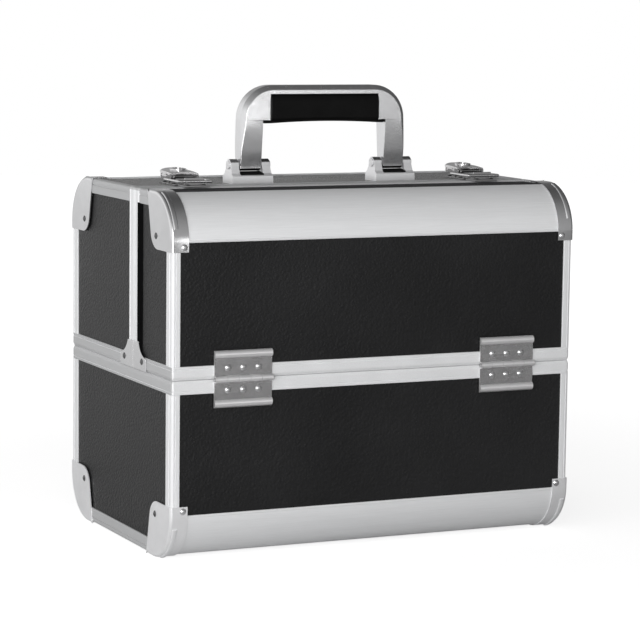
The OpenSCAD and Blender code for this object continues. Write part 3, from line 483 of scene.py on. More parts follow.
def surface(name, skin, dark, light, rough, bump, metallic=0.0, specular=0.5, scale=(1, 1, 1), lining=None):
    """A material whose colour, roughness and relief come from one of the shared skins."""
    if name in bpy.data.materials:
        return bpy.data.materials[name]
    material = bpy.data.materials.new(name)
    material.use_nodes = True
    tree = material.node_tree
    shader = tree.nodes["Principled BSDF"]
    place = node_of(tree, "ShaderNodeTexCoord").outputs["Object"]
    skin_node = node_of(tree, "ShaderNodeGroup", node_tree=skin_group(skin))
    tree.links.new(stretched(tree, place, scale), skin_node.inputs["Vector"])
    colour = blended(tree, ranged(tree, skin_node.outputs["Tone"], 0.3, 0.7, 0, 1), dark, light)
    gloss = ranged(tree, skin_node.outputs["Gloss"], 0.3, 0.7, *rough)
    if lining is not None:
        mask = inside_case(tree, place)
        felt = blended(tree, skin_node.outputs["Height"], shade(lining, 1.5), shade(lining, 0.8))
        colour = blended(tree, mask, colour, felt)
        gloss = maths(tree, "MAXIMUM", gloss, maths(tree, "MULTIPLY", mask, 0.9))
    tree.links.new(colour, shader.inputs["Base Color"])
    tree.links.new(gloss, shader.inputs["Roughness"])
    relief = node_of(tree, "ShaderNodeBump")
    relief.inputs["Strength"].default_value = 1.0
    relief.inputs["Distance"].default_value = bump
    tree.links.new(skin_node.outputs["Height"], relief.inputs["Height"])
    tree.links.new(relief.outputs["Normal"], shader.inputs["Normal"])
    shader.inputs["Metallic"].default_value = metallic
    shader.inputs["Specular IOR Level"].default_value = specular
    return material


def shade(colour, factor):
    return tuple(min(1.0, channel * factor) for channel in colour[:3])


def drawn(name, colour, along, rough=(0.5, 0.6)):
    """Satin aluminium with its drawn lines along X, Y or Z, or finely blasted with no direction."""
    scale = {"X": (40, 1500, 1500), "Y": (1500, 40, 1500), "Z": (1500, 1500, 40), "": (900, 900, 900)}[along]
    return surface(name, "brushed_skin", shade(colour, 0.93), shade(colour, 1.05), rough, 0.00001,
                   metallic=0.3, specular=0.25, scale=scale)


def plated(name, colour, rough=(0.12, 0.24), bump=0.00003, metallic=1.0, scale=(1, 1, 1)):
    return surface(name, "smooth_skin", shade(colour, 0.96), shade(colour, 1.03), rough, bump,
                   metallic=metallic, scale=scale)


def moulded(name, colour, rough=(0.3, 0.45), specular=0.5):
    return surface(name, "smooth_skin", shade(colour, 0.85), shade(colour, 1.3), rough, 0.00004,
                   specular=specular)


def dress(node, material):
    """Gives a CAD node that stays in view its material."""
    item = frame["nodes"][node]
    if item.data.materials:
        for index in range(len(item.data.materials)):
            item.material_slots[index].material = material
    else:
        item.data.materials.append(material)


# ---------------------------------------------------------------- operators


class CASE_OT_panels(bpy.types.Operator):
    """Covers the boards in pebbled black outside and felt inside"""

    bl_idname = "train_case.panels"
    bl_label = "Covered boards"

    def execute(self, context):
        colours, sizes = context.scene.case_colours, context.scene.case_sizes
        board, lining = colours.board, tuple(colours.lining)
        pebbled = surface("pebbled_board", "pebbled_skin", shade(board, 0.6), shade(board, 1.5),
                          (0.3, 0.46), sizes.pebble, specular=0.21, lining=lining)
        # Painted shade: the front lid's top, and the top edge of its bar, take this copy of the board. It is
        # lighter in colour and nearly without sheen, so they read flat and darker than the back lid's top.
        dull = surface("painted_shade_board", "pebbled_skin", shade(board, 3.2), shade(board, 6.4),
                       (0.6, 0.8), sizes.pebble, specular=0.03, lining=lining)
        rubbed = surface("rubbed_board", "pebbled_skin", shade(board, 0.6), shade(board, 1.5),
                         (0.2, 0.3), sizes.pebble * 0.4, specular=0.7, lining=lining)
        for node in ("base_front_panel", "base_back_panel", "base_side_panels", "front_lid_panel",
                     "front_lid_side_panels", "back_lid_panel", "back_lid_side_panels", "floor_panel"):
            dress(node, pebbled)
        dress("back_lid_top_panel", rubbed)
        dress("front_lid_top_panel", dull)
        return {"FINISHED"}


class CASE_OT_edge_bars(bpy.types.Operator):
    """Rolls the four rounded edge bars with a bead along the edge on each upright face"""

    bl_idname = "train_case.edge_bars"
    bl_label = "Rounded edge bars"

    def execute(self, context):
        lip = mm(context.scene.case_sizes.bar_lip)
        metal = drawn("drawn_bar", context.scene.case_colours.aluminium, "X", (0.52, 0.62))
        centre = Vector((0, EDGE_R - HALF_D, BAR_TOP))

        def front_bar():
            sheet = spun(
                [(-HALF_W, EDGE_R - BAR_T), (HALF_W, EDGE_R - BAR_T), (HALF_W, EDGE_R), (-HALF_W, EDGE_R)],
                lambda x, r: Vector((x, centre.y - r, centre.z)), centre, -90, 24)
            low = -HALF_D + lip - 0.35
            return [sheet, rod((-HALF_W, low, BAR_TOP + lip), (HALF_W, low, BAR_TOP + lip), lip)]

        lid_bar = finish_piece("rounded_bar_front_lid", front_bar(), metal, ["front_lid_bar"])
        # Painted shade: the nearly level faces along the bar's top take the dark board.
        refinish(lid_bar, bpy.data.materials["painted_shade_board"],
                 lambda face: face.normal.z > SHADED_LEVEL and mm(face.center.z) > TOP - 1)
        finish_piece("rounded_bar_back_lid", to_back(front_bar()), metal, ["back_lid_bar"])
        finish_piece("rounded_bar_bottom_front", to_bottom(front_bar()), metal, ["bottom_front_bar"])
        finish_piece("rounded_bar_bottom_back", to_back(to_bottom(front_bar())), metal, ["bottom_back_bar"])
        return {"FINISHED"}


def rail_section(sizes):
    """Section of a corner rail: p along its narrow face and q along its wide face from the corner."""
    deep = mm(sizes.groove)
    p0, p1, p2, p3 = FACE_GROOVE
    q0, q1, q2, q3 = SIDE_GROOVE
    return [(0, 0, mm(sizes.rail_round)), (p0, 0), (p1, deep), (p2, deep), (p3, 0),
            (RAIL_FACE_W, 0, FREE_ROUND), (RAIL_FACE_W, RAIL_T), (RAIL_T, RAIL_T),
            (RAIL_T, RAIL_SIDE_W), (0, RAIL_SIDE_W, FREE_ROUND), (0, q3), (deep, q2), (deep, q1), (0, q0)]


class CASE_OT_rails(bpy.types.Operator):
    """Draws the corner rails with their rounded corner and fine groove"""

    bl_idname = "train_case.rails"
    bl_label = "Corner rails"

    def execute(self, context):
        section = rail_section(context.scene.case_sizes)
        colour = context.scene.case_colours.aluminium
        upright_metal = drawn("drawn_upright", colour, "Z")
        # Painted shade: the level rails along the top and bottom edges take the aluminium at 0.62 of its
        # colour.
        shaded_level_metal = drawn("drawn_level_painted_shade", shade(colour, 0.62), "Y")

        def upright(low, high):
            return prism(section, lambda p, q: Vector((p - HALF_W, q - HALF_D, low)), (0, 0, high - low))

        def level(front, back):
            return prism(section, lambda p, q: Vector((p - HALF_W, front, TOP - q)), (0, back - front, 0))

        base = both_sides([upright(BAR_LOW, BOX_Z - RIM_W)])
        base_levels = to_bottom(both_sides([level(EDGE_R - HALF_D, HALF_D - EDGE_R)]))
        finish_piece("base_uprights", base + to_back(base), upright_metal, ["base_edge_rails"])
        finish_piece("base_levels", base_levels, shaded_level_metal, body="base")
        for lid, front, back in (("front_lid", EDGE_R - HALF_D, FRONT_BACK_Y - RIM_W),
                                 ("back_lid", BACK_FRONT_Y + RIM_W, HALF_D - EDGE_R)):
            uprights = both_sides([upright(LID_Z + RIM_W, BAR_TOP)])
            if lid == "back_lid":
                uprights = to_back(uprights)
            finish_piece(lid + "_uprights", uprights, upright_metal, [lid + "_edge_rails"])
            levels = both_sides([level(front, back)])
            finish_piece(lid + "_levels", levels, shaded_level_metal, body=lid)
        return {"FINISHED"}


def bend(radius, inward, steps=4):
    """Distances (p, q) from the two outer faces round a corner, for a point at depth d."""
    stops = [math.radians(90 * k / steps) for k in range(steps + 1)]
    for turn in stops if inward else reversed(stops):
        def spot(d, turn=turn):
            if d >= radius:
                return d, d
            return radius - (radius - d) * math.cos(turn), radius - (radius - d) * math.sin(turn)
        yield spot


class CASE_OT_rim_frames(bpy.types.Operator):
    """Draws the rim of the lower box and the frames around the open edges of both lids"""

    bl_idname = "train_case.rim_frames"
    bl_label = "Rim and lid frames"

    def execute(self, context):
        sizes, colour = context.scene.case_sizes, context.scene.case_colours.aluminium
        metal = drawn("blasted_strip", colour, "", (0.48, 0.58))
        radius, slope = mm(sizes.rail_round), mm(sizes.strip_slope)

        def section(web):
            h0, h1, h2, h3 = (RIM_W - back for back in STRIP_GROOVE)
            return [(STRIP_LIP, 0, 0.3), (web, 0), (web, RAIL_T), (RAIL_T, RAIL_T), (RAIL_T, RIM_W),
                    (0, RIM_W, FREE_ROUND), (0, h0), (STRIP_GROOVE_DEEP, h1), (STRIP_GROOVE_DEEP, h2),
                    (0, h3), (0, slope, 2.0)]

        stations = []
        for sx, sy, inward in ((-1, -1, True), (1, -1, False), (1, 1, True), (-1, 1, False)):
            for spot in bend(radius, inward):
                def station(d, h, sx=sx, sy=sy, spot=spot):
                    p, q = spot(d)
                    return Vector((sx * (HALF_W - p), sy * (HALF_D - q), BOX_Z - h))
                stations.append(station)
        # Painted shade: the strips' faces on the case's sides, up to the lids' rims, take the aluminium at
        # 0.62 of its colour, and those along the top at 0.7.
        side = drawn("side_strip_painted_shade", shade(colour, 0.62), "Y")
        top = drawn("top_strip_painted_shade", shade(colour, 0.7), "X")
        strips = [finish_piece("base_rim", [ring(section(RIM_WEB), stations)], metal, ["base_rim_frame"])]

        def lid_frame(edge):
            """The front lid's frame, whose parting edge lies at depth edge"""
            half = []
            for spot in bend(radius, False):
                half.append(lambda d, h, s, spot=spot: Vector(
                    (s * (HALF_W - spot(d)[0]), spot(d)[1] - HALF_D, LID_Z + h)))
            half.append(lambda d, h, s: Vector((s * (HALF_W - d), edge - h, LID_Z + h)))
            for spot in bend(radius, True):
                half.append(lambda d, h, s, spot=spot: Vector(
                    (s * (HALF_W - spot(d)[0]), edge - h, TOP - spot(d)[1])))
            left = [lambda d, h, place=place: place(d, h, -1) for place in half]
            right = [lambda d, h, place=place: place(d, h, 1) for place in reversed(half)]
            return ring(section(FRAME_WEB), left + right)

        strips.append(finish_piece("front_lid_strips", [lid_frame(FRONT_BACK_Y)], metal, ["front_lid_frame"]))
        back = to_back([lid_frame(-BACK_FRONT_Y)])
        strips.append(finish_piece("back_lid_strips", back, metal, ["back_lid_frame"]))
        for piece in strips:
            refinish(piece, side, lambda face: abs(face.normal.x) > 0.7 and mm(face.center.z) < LID_Z + RIM_W)
            refinish(piece, top, lambda face: mm(face.center.z) > TOP - 3)
        finish_piece("locating_tongue", [cad_copy("base_tongue", 0.3)], drawn("drawn_tongue", colour, ""),
                     ["base_tongue"])
        return {"FINISHED"}


class CASE_OT_corner_caps(bpy.types.Operator):
    """Presses the plated corner caps with their folded edge and raised ridge"""

    bl_idname = "train_case.corner_caps"
    bl_label = "Corner caps"

    def execute(self, context):
        chrome = context.scene.case_colours.chrome
        metal = plated("chrome_cap", chrome)
        fold = mm(context.scene.case_sizes.cap_round)
        outer_r = EDGE_R + CAP_T
        outline = [(-CAP_T, -CAP_T, outer_r), (-CAP_T, CAP_DOWN), (CAP_CORNER_Y, CAP_DOWN, CAP_CORNER),
                   (CAP_TIP, -CAP_T), (CAP_ALONG, -CAP_T)]

        def cap():
            bm = bmesh.new()
            rounded_face(bm, outline, lambda a, b: Vector((-HALF_W - CAP_T, a - HALF_D, TOP - b)))

            def on_wrap(vert):
                a, b = vert.co.y + HALF_D, TOP - vert.co.z
                if a > EDGE_R or b > EDGE_R:
                    return a < CAP_ALONG + 0.01 and b < CAP_DOWN + 0.01 and min(a, b) < 0.01 - CAP_T
                return math.hypot(a - EDGE_R, b - EDGE_R) > outer_r - 0.05

            fold_edges = [e for e in bm.edges if on_wrap(e.verts[0]) and on_wrap(e.verts[1])]
            grown = bmesh.ops.extrude_edge_only(bm, edges=fold_edges)
            bmesh.ops.translate(bm, vec=(CAP_WRAP, 0, 0), verts=new_verts(grown))
            bmesh.ops.recalc_face_normals(bm, faces=bm.faces[:])
            if sum(face.normal.x for face in bm.faces) > 0:
                bmesh.ops.reverse_faces(bm, faces=bm.faces[:])
            soften(bm, fold, 3)
            bmesh.ops.solidify(bm, geom=bm.faces[:], thickness=CAP_T)
            bmesh.ops.recalc_face_normals(bm, faces=bm.faces[:])
            return bm

        def ridge():
            low, high = outer_r - RIDGE_SUNK, outer_r + RIDGE_RISE
            centre = Vector((0, EDGE_R - HALF_D, BAR_TOP))
            start = math.asin(RIDGE_START / outer_r)

            def place(x, radius):
                return Vector((x, centre.y - radius * math.cos(start), centre.z + radius * math.sin(start)))

            section = [(-RIDGE_OUTER, low), (-RIDGE_INNER, low), (-RIDGE_INNER, high, RIDGE_ROUND),
                       (-RIDGE_OUTER, high, RIDGE_ROUND)]
            return spun(section, place, centre, 2 * math.degrees(start) - 90, 18)

        def corners():
            return both_sides([cap(), ridge()])

        finish_piece("caps_front_lid", corners(), metal, ["front_lid_corner_caps"])
        finish_piece("caps_back_lid", to_back(corners()), metal, ["back_lid_corner_caps"])
        low = to_bottom(corners())
        # Painted light: the base's caps take a lighter, less metallic copy of the chrome, so they read
        # brighter than the lids' caps.
        satin = plated("cap_painted_light", shade(chrome, 1.25), (0.3, 0.4), metallic=0.5)
        finish_piece("caps_base", low + to_back(low), satin, ["base_corner_caps"])
        return {"FINISHED"}


class CASE_OT_hinges(bpy.types.Operator):
    """Softens the hinge leaves, their pins and the foot plates beside the parting line"""

    bl_idname = "train_case.hinges"
    bl_label = "Hinges and foot plates"

    def execute(self, context):
        colours = context.scene.case_colours
        # Painted light: the leaves and pins take the nickel darkened to 0.8, and the beads along the leaves'
        # edges a lighter, less metallic copy, so the beads read bright over dark leaves.
        metal = plated("nickel_hinge_painted_shade", shade(colours.nickel, 0.8), (0.14, 0.24), 0.0005, scale=(2, 2, 2))
        bead = plated("nickel_bead_painted_light", shade(colours.nickel, 1.5), (0.28, 0.38), metallic=0.65)
        bright = plated("chrome_foot", colours.chrome)
        leaves = ("hinge_lower_leaves", "front_hinge_leaves", "back_hinge_leaves")
        for piece in soft_copies(leaves, 0.22, "_soft", metal):
            refinish(piece, bead, lambda face: mm(abs(face.center.y)) > HALF_D + LEAF_T + 0.2)
        soft_copies(["hinge_pins"], 0.15, "_soft", metal)
        soft_copies(["front_foot_plates", "back_foot_plates"], 0.3, "_soft", bright)
        return {"FINISHED"}


class CASE_OT_rivets(bpy.types.Operator):
    """Domes the outside rivets, with painted light: bright chrome on those in front and behind, steel
    darkened to a quarter on the sides
    """

    bl_idname = "train_case.rivets"
    bl_label = "Rivets"

    def execute(self, context):
        # Painted light: the same rivets read bright or dark by which way they face.
        metal = plated("side_rivet_painted_shade", shade(context.scene.case_colours.steel, 0.25), (0.16, 0.28))
        bright = plated("front_rivet_painted_light", context.scene.case_colours.chrome, (0.2, 0.3))
        for node in ("base_rivets", "front_lid_rivets", "back_lid_rivets"):
            domed = finish_piece(node + "_domed", [cad_copy(node)], metal, [node], smooth=32)
            refinish(domed, bright, lambda face: mm(abs(face.center.y)) > HALF_D)
        return {"FINISHED"}


def bow_depth(z):
    """Half the handle's thickness at height z."""
    stops = [(FOOT_Z, PIVOT_DEEP), (PIVOT_Z, PIVOT_DEEP), *LEG_DEPTHS, (CROWN_Z + 1, BOW_DEEP)]
    for (z0, d0), (z1, d1) in zip(stops, stops[1:]):
        if z <= z1:
            return d0 + (d1 - d0) * max(0.0, z - z0) / (z1 - z0)
    return BOW_DEEP


def on_outer_rim(edge):
    """Whether the edge runs along the outside of the handle's legs and crown."""
    middle = (edge.verts[0].co + edge.verts[1].co) / 2
    along = (edge.verts[1].co - edge.verts[0].co).normalized()
    corner = Vector((LEG_OUT - CROWN_R, CROWN_Z - CROWN_R))
    from_corner = Vector((abs(middle.x), middle.z)) - corner
    on_arc = from_corner.x > 0 and from_corner.y > 0 and from_corner.length > CROWN_R - 1
    rim = abs(middle.x) > LEG_OUT - 0.1 or middle.z > CROWN_Z - 0.1 or on_arc
    return rim and abs(along.y) < 0.5


def handle_bow(facet):
    """The handle's frame, thinner down its legs, with a flat facet along its outside."""
    outline = [(-LEG_OUT, FOOT_Z), (-LEG_OUT, CROWN_Z, CROWN_R),
               (LEG_OUT, CROWN_Z, CROWN_R), (LEG_OUT, FOOT_Z),
               (LEG_IN, FOOT_Z), (LEG_IN, GRIP_Z), (GRIP_HALF, GRIP_Z), (GRIP_HALF, GRIP_TOP),
               (-GRIP_HALF, GRIP_TOP), (-GRIP_HALF, GRIP_Z), (-LEG_IN, GRIP_Z), (-LEG_IN, FOOT_Z)]
    bow = prism(outline, lambda x, z: Vector((x, -1, z)), (0, 2, 0))
    for z in (PIVOT_Z, *(height for height, _ in LEG_DEPTHS)):
        score(bow, (0, 0, z), (0, 0, 1))
    for vert in bow.verts:
        vert.co.y = math.copysign(bow_depth(vert.co.z), vert.co.y)
    soften(bow, facet, 1, 60, on_outer_rim)
    for vert in bow.verts:
        out = LEG_OUT - abs(vert.co.x)
        if vert.co.z < GRIP_Z - 1 and out < facet + 0.3:
            share = max(0.0, (vert.co.z - FACET_LOW_Z) / (GRIP_Z - FACET_LOW_Z))
            width = FACET_LOW + (facet - FACET_LOW) * share
            if out > 0.3:
                vert.co.x = math.copysign(LEG_OUT - width, vert.co.x)
            else:
                vert.co.y = math.copysign(bow_depth(vert.co.z) - width, vert.co.y)
    return soften(bow, 0.5, 2, 28)


def grip_parts():
    """The grip and the lip under it, both with a shallow arch along the underside."""
    low, high, end = GRIP_Z - GRIP_DROP, GRIP_TOP - 0.05, GRIP_HALF + LIP_LONG
    grip = prism([(-GRIP_DEEP, low, 3.5), (-GRIP_DEEP, high, 6), (GRIP_DEEP, high, 6), (GRIP_DEEP, low, 3.5)],
                 lambda y, z: Vector((0.05 - GRIP_HALF, y, z)), (2 * GRIP_HALF - 0.1, 0, 0))
    lip = prism([(-end, -BOW_DEEP, 1.5), (end, -BOW_DEEP, 1.5), (end, BOW_DEEP, 1.5), (-end, BOW_DEEP, 1.5)],
                lambda x, y: Vector((x, y, GRIP_Z - LIP_DROP)), (0, 0, LIP_T))
    parts = [soften(grip, 0.6), soften(lip, 0.6)]
    for part in parts:
        long_edges = [e for e in part.edges if abs(e.verts[0].co.x - e.verts[1].co.x) > GRIP_HALF]
        bmesh.ops.subdivide_edges(part, edges=long_edges, cuts=15, use_grid_fill=True)
        for vert in part.verts:
            share = max(0.0, min(1.0, (GRIP_Z + 3 - vert.co.z) / 4))
            vert.co.z += GRIP_ARCH * share * max(0.0, 1 - (vert.co.x / GRIP_HALF) ** 2)
    return parts


class CASE_OT_handle(bpy.types.Operator):
    """Casts the folding handle, its grip, brackets and pins, and black bushes and rests under its legs as
    painted shade
    """

    bl_idname = "train_case.handle"
    bl_label = "Handle"

    def execute(self, context):
        colours = context.scene.case_colours
        facet = mm(context.scene.case_sizes.handle_facet)
        chrome = plated("chrome_handle", shade(colours.chrome, 1.05), (0.2, 0.3), 0.0002)
        black = moulded("satin_grip", colours.grip, (0.34, 0.46), 0.05)
        finish_piece("handle_bow", [handle_bow(facet)], chrome, ["handle_frame"], smooth=25)
        finish_piece("moulded_grip", grip_parts(), black, ["handle_grip"])

        # Painted shade: black bushes round the pivots and black rests on the sills fill the slot under each
        # leg, which is in shade.
        black_shade = moulded("black_shade_rest", shade(colours.grip, 1.2), (0.7, 0.85), 0.1)
        bush = rod((LEG_IN + 0.3, 0, PIVOT_Z), (LEG_OUT - 0.3, 0, PIVOT_Z), BUSH_R, 40)
        finish_piece("handle_bushes_painted_shade", both_sides([bush]), black_shade, body="handle")
        low, edge = SILL_Z - 0.2, SILL_Z + REST_LOW
        rest = prism([(-REST_DEEP, low), (-REST_DEEP, edge), (0, SILL_Z + REST_HIGH, 3), (REST_DEEP, edge),
                      (REST_DEEP, low)],
                     lambda y, z: Vector((LEG_IN - 0.6, y, z)), (LEG_OUT - LEG_IN + 1.2, 0, 0))
        finish_piece("handle_rests_painted_shade", both_sides([rest]), black_shade, body="back_lid")

        bracket_metal = plated("chrome_bracket", shade(colours.chrome, 1.2), (0.28, 0.4), metallic=0.55)
        cast = finish_piece("handle_brackets_cast", [cad_copy("handle_brackets", 0.7, 3)], bracket_metal,
                            ["handle_brackets"])
        # Painted shade: the upward faces on the ears' tops take a darker nickel.
        refinish(cast, plated("ear_top_painted_shade", shade(colours.nickel, 0.6), (0.2, 0.34)),
                 lambda face: mm(face.center.z) > EAR_TOP_Z and face.normal.z > 0.4)
        finish_piece("handle_pins", [cad_copy("handle_pivots", 0.3)], bracket_metal, ["handle_pivots"])
        return {"FINISHED"}


def cambered(lever, centre):
    """Bends the lever's plate down to its sides and to its front end."""
    low = min(vert.co.z for vert in lever.verts)
    high = max(vert.co.z for vert in lever.verts)
    front = min(vert.co.y for vert in lever.verts)
    for step in range(-3, 4):
        score(lever, (centre + step * LEVER_HALF / 4, 0, 0), (1, 0, 0))
    for step in range(1, 9):
        score(lever, (0, front + step * CAMBER_STEP, 0), (0, 1, 0))
    for vert in lever.verts:
        share = (vert.co.z - low) / (high - low)
        side = min(1.0, abs(vert.co.x - centre) / LEVER_HALF)
        ahead = max(0.0, 1 - (vert.co.y - front) / CAMBER_REACH)
        vert.co.z -= share * (CAMBER_SIDE * side ** 2 + CAMBER_FRONT * ahead ** 2)
    return lever


class CASE_OT_latches(bpy.types.Operator):
    """Plates the draw latches: bases, pins, strikes, bails, cambered levers and locks"""

    bl_idname = "train_case.latches"
    bl_label = "Latches"

    def execute(self, context):
        nickel = context.scene.case_colours.nickel
        # Painted light: the levers' tops and the bails take a lighter nickel. The bases, pins and the levers'
        # sides take a darker one, and the strikes a dimmer, rougher one that damps their highlight.
        bright = plated("nickel_latch_painted_light", shade(nickel, 1.25), (0.14, 0.26))
        dark = plated("nickel_base_painted_shade", shade(nickel, 0.45), (0.2, 0.34))
        plug = plated("nickel_lock", shade(nickel, 0.9), (0.14, 0.26))
        satin = plated("nickel_strike_painted_shade", shade(nickel, 0.75), (0.32, 0.44))
        soft_copies(["latch_bases", "latch_pins"], 0.25, "_plated", dark)
        soft_copies(["latch_strikes"], 0.25, "_plated", satin)
        soft_copies(["hook_left", "hook_right"], 0.25, "_plated", bright)
        for node, centre in (("lever_left", -LATCH_X), ("lever_right", LATCH_X)):
            piece = finish_piece(node + "_plated", [cambered(cad_copy(node, 0.25), centre)], bright, [node])
            refinish(piece, dark, lambda face: mm(face.center.z) < LEVER_SIDE_Z)
        soft_copies(["lock_left", "lock_right"], 0.2, "_plated", plug)
        return {"FINISHED"}


class CASE_OT_trays(bpy.types.Operator):
    """Moulds the four trays and zinc-plates their arms, links and rivets"""

    bl_idname = "train_case.trays"
    bl_label = "Trays and arms"

    def execute(self, context):
        colours = context.scene.case_colours
        plastic = moulded("moulded_tray", colours.tray, (0.35, 0.5))
        zinc = plated("zinc_arm", colours.steel, (0.22, 0.4))
        soft_copies(["front_lower_tray", "front_upper_tray", "back_lower_tray", "back_upper_tray"],
                    0.4, "_moulded", plastic)
        soft_copies(["front_lead_arms", "front_trail_arms", "back_lead_arms", "back_trail_arms",
                     "front_links", "back_links"], 0.2, "_zinc", zinc)
        soft_copies(["front_lead_rivets", "front_trail_rivets", "back_lead_rivets", "back_trail_rivets"],
                    0.15, "_zinc", zinc)
        return {"FINISHED"}


class CASE_OT_side_shade_strips(bpy.types.Operator):
    """Adds black strips beside the parting rails on each side of the front lid: painted shade along the
    rails' front edges
    """

    bl_idname = "train_case.side_trims"
    bl_label = "Side trims"

    def execute(self, context):
        # Painted shade: a black strip, nearly without sheen, along the front edge of each parting rail.
        black = moulded("black_shade_strip", shade(context.scene.case_colours.board, 0.35), (0.8, 0.95), 0.0)
        beside = prism([(-46.4, 0), (-46.4, 0.6, 0.4), (-42.6, 1.1, 2.0), (-41.5, 1.1), (-41.5, 0)],
                       lambda y, out: Vector((-SHADE_STRIP_X - out, y, SHADE_STRIP_LOW)), (0, 0, SHADE_STRIP_HIGH - SHADE_STRIP_LOW))
        over = prism([(-43.6, 0.9), (-42.6, 1.7, 0.6), (-38.6, 1.7, 0.3), (-38.6, 1.3), (-41.5, 1.3)],
                     lambda y, out: Vector((-SHADE_STRIP_X - out, y, SHADE_STRIP_OVER_LOW)),
                     (0, 0, SHADE_STRIP_HIGH - SHADE_STRIP_OVER_LOW))
        finish_piece("side_trims", both_sides([beside, over]), black, body="front_lid")
        return {"FINISHED"}


class CASE_OT_stage(bpy.types.Operator):
    """Sets the white floor, the soft lights and the camera"""

    bl_idname = "train_case.stage"
    bl_label = "Studio"

    def execute(self, context):
        scene = context.scene
        scene.view_settings.view_transform = "Standard"
        build_world(scene)
        build_floor(scene)
        build_lights(scene)
        build_camera(scene)
        return {"FINISHED"}


def graded(tree, value, stops):
    """A level read off the stops (value, level), in straight lines between them."""
    node = node_of(tree, "ShaderNodeValToRGB")
    ramp = node.color_ramp
    spots = [((at + 1) / 2, level) for at, level in stops]
    for element, (position, level) in zip(ramp.elements, (spots[0], spots[-1])):
        element.position, element.color = position, (level, level, level, 1)
    for position, level in spots[1:-1]:
        ramp.elements.new(position).color = (level, level, level, 1)
    tree.links.new(ranged(tree, value, -1, 1, 0, 1), node.inputs[0])
    return node.outputs[0]


def build_world(scene):
    """White for the camera; for the metal, bright in front, dimmer overhead, behind and to the right."""
    world = bpy.data.worlds.new("studio_air")
    world.use_nodes = True
    scene.world = world
    tree = world.node_tree
    background = tree.nodes["Background"]
    way = node_of(tree, "ShaderNodeTexCoord").outputs["Generated"]
    split = node_of(tree, "ShaderNodeSeparateXYZ")
    tree.links.new(way, split.inputs[0])
    left = maths(tree, "MULTIPLY", graded(tree, split.outputs["X"], WORLD_BY_SIDE),
                 graded(tree, split.outputs["Z"], WORLD_BY_HEIGHT))
    level = maths(tree, "MAXIMUM", graded(tree, split.outputs["Y"], WORLD_BY_DEPTH), left)
    grey = node_of(tree, "ShaderNodeCombineColor")
    for socket in grey.inputs:
        tree.links.new(level, socket)
    seen = node_of(tree, "ShaderNodeLightPath").outputs["Is Camera Ray"]
    tree.links.new(blended(tree, seen, grey.outputs[0], (1.0, 1.0, 1.0)), background.inputs["Color"])
    background.inputs["Strength"].default_value = 1.0


def build_floor(scene):
    """A wide floor that shows as white and keeps a soft shadow, dimmer in the metal to the right."""
    bm = bmesh.new()
    bmesh.ops.create_circle(bm, cap_ends=True, segments=96, radius=STAGE_R)
    mesh = bpy.data.meshes.new("floor")
    bm.to_mesh(mesh)
    bm.free()
    floor = bpy.data.objects.new("floor", mesh)
    scene.collection.objects.link(floor)
    material = bpy.data.materials.new("white_floor")
    material.use_nodes = True
    tree = material.node_tree
    shader = tree.nodes["Principled BSDF"]
    place = node_of(tree, "ShaderNodeTexCoord").outputs["Object"]
    paper = noise(tree, place, 14, 3)
    tree.links.new(blended(tree, paper, STAGE_DARK, STAGE_LIGHT), shader.inputs["Base Color"])
    shader.inputs["Roughness"].default_value = 0.9
    shader.inputs["Specular IOR Level"].default_value = 0.0
    shader.inputs["Emission Color"].default_value = (1, 1, 1, 1)
    rays = node_of(tree, "ShaderNodeLightPath")
    away = node_of(tree, "ShaderNodeVectorMath", operation="LENGTH")
    tree.links.new(place, away.inputs[0])
    split = node_of(tree, "ShaderNodeSeparateXYZ")
    tree.links.new(place, split.inputs[0])
    white = ranged(tree, away.outputs["Value"], *STAGE_WHITE)
    # Painted reflection: for glossy rays the floor glows, brighter to the left, so the metal picks up light
    # from it.
    sheen = ranged(tree, split.outputs["X"], *STAGE_SHEEN)
    seen = maths(tree, "ADD", maths(tree, "MULTIPLY", rays.outputs["Is Camera Ray"], white),
                 maths(tree, "MULTIPLY", rays.outputs["Is Glossy Ray"], sheen))
    tree.links.new(seen, shader.inputs["Emission Strength"])
    mesh.materials.append(material)


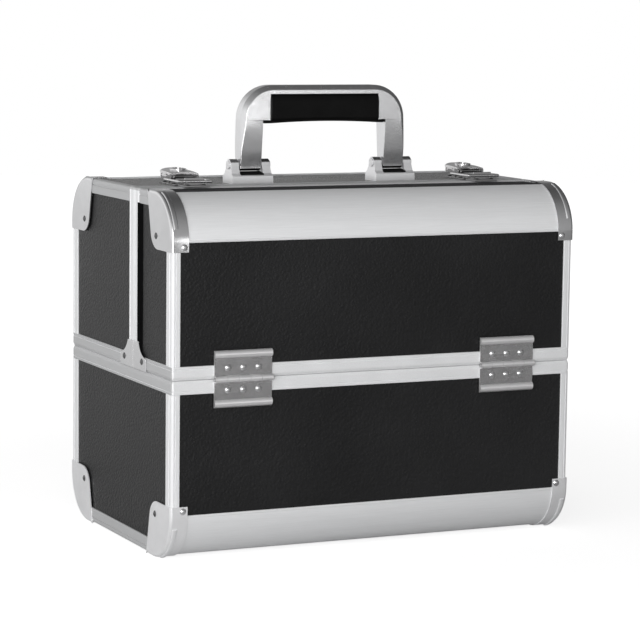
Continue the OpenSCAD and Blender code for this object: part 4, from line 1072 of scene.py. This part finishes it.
def build_lights(scene):
    """Soft round lamps aimed at the case, all hidden from the camera."""
    for name, place, width, power, in_metal in LAMPS:
        lamp = bpy.data.lights.new(name, "AREA")
        lamp.shape = "DISK"
        lamp.size = width
        lamp.energy = power
        item = bpy.data.objects.new(name, lamp)
        item.location = place
        item.visible_camera = False
        item.visible_glossy = in_metal
        item.rotation_mode = "QUATERNION"
        item.rotation_quaternion = (AIMED_AT - Vector(place)).to_track_quat("-Z", "Y")
        scene.collection.objects.link(item)


def build_camera(scene):
    """A long lens a little above the case, to the left of its front."""
    data = bpy.data.cameras.new("camera")
    data.lens, data.sensor_width = CAMERA_LENS, CAMERA_FILM
    data.clip_start, data.clip_end = 0.1, 20.0
    camera = bpy.data.objects.new("camera", data)
    turn = Matrix((CAMERA_RIGHT, CAMERA_UP, -Vector(CAMERA_AHEAD))).transposed()
    camera.matrix_world = Matrix.Translation(CAMERA_AT) @ turn.to_4x4()
    scene.collection.objects.link(camera)
    scene.camera = camera


class CASE_PT_sidebar(bpy.types.Panel):
    """Lists the steps that build the case's looks"""

    bl_idname = "CASE_PT_sidebar"
    bl_label = "Makeup train case"
    bl_space_type = "VIEW_3D"
    bl_region_type = "UI"
    bl_category = "Train Case"

    def draw(self, context):
        for step in STEPS:
            self.layout.operator(step.bl_idname)
        for group in (context.scene.case_sizes, context.scene.case_colours):
            for name in group.bl_rna.properties.keys():
                if name not in ("rna_type", "name"):
                    self.layout.prop(group, name)


STEPS = (CASE_OT_panels, CASE_OT_edge_bars, CASE_OT_rails, CASE_OT_rim_frames, CASE_OT_corner_caps,
         CASE_OT_hinges, CASE_OT_rivets, CASE_OT_handle, CASE_OT_latches, CASE_OT_trays,
         CASE_OT_side_shade_strips, CASE_OT_stage)
CLASSES = (CaseSizes, CaseColours, *STEPS, CASE_PT_sidebar)


def register():
    for cls in CLASSES:
        bpy.utils.register_class(cls)
    bpy.types.Scene.case_sizes = PointerProperty(type=CaseSizes)
    bpy.types.Scene.case_colours = PointerProperty(type=CaseColours)


def unregister():
    del bpy.types.Scene.case_colours
    del bpy.types.Scene.case_sizes
    for cls in reversed(CLASSES):
        bpy.utils.unregister_class(cls)


def main():
    register()
    for step in STEPS:
        family, name = step.bl_idname.split(".")
        getattr(getattr(bpy.ops, family), name)()


if __name__ == "__main__":
    main()
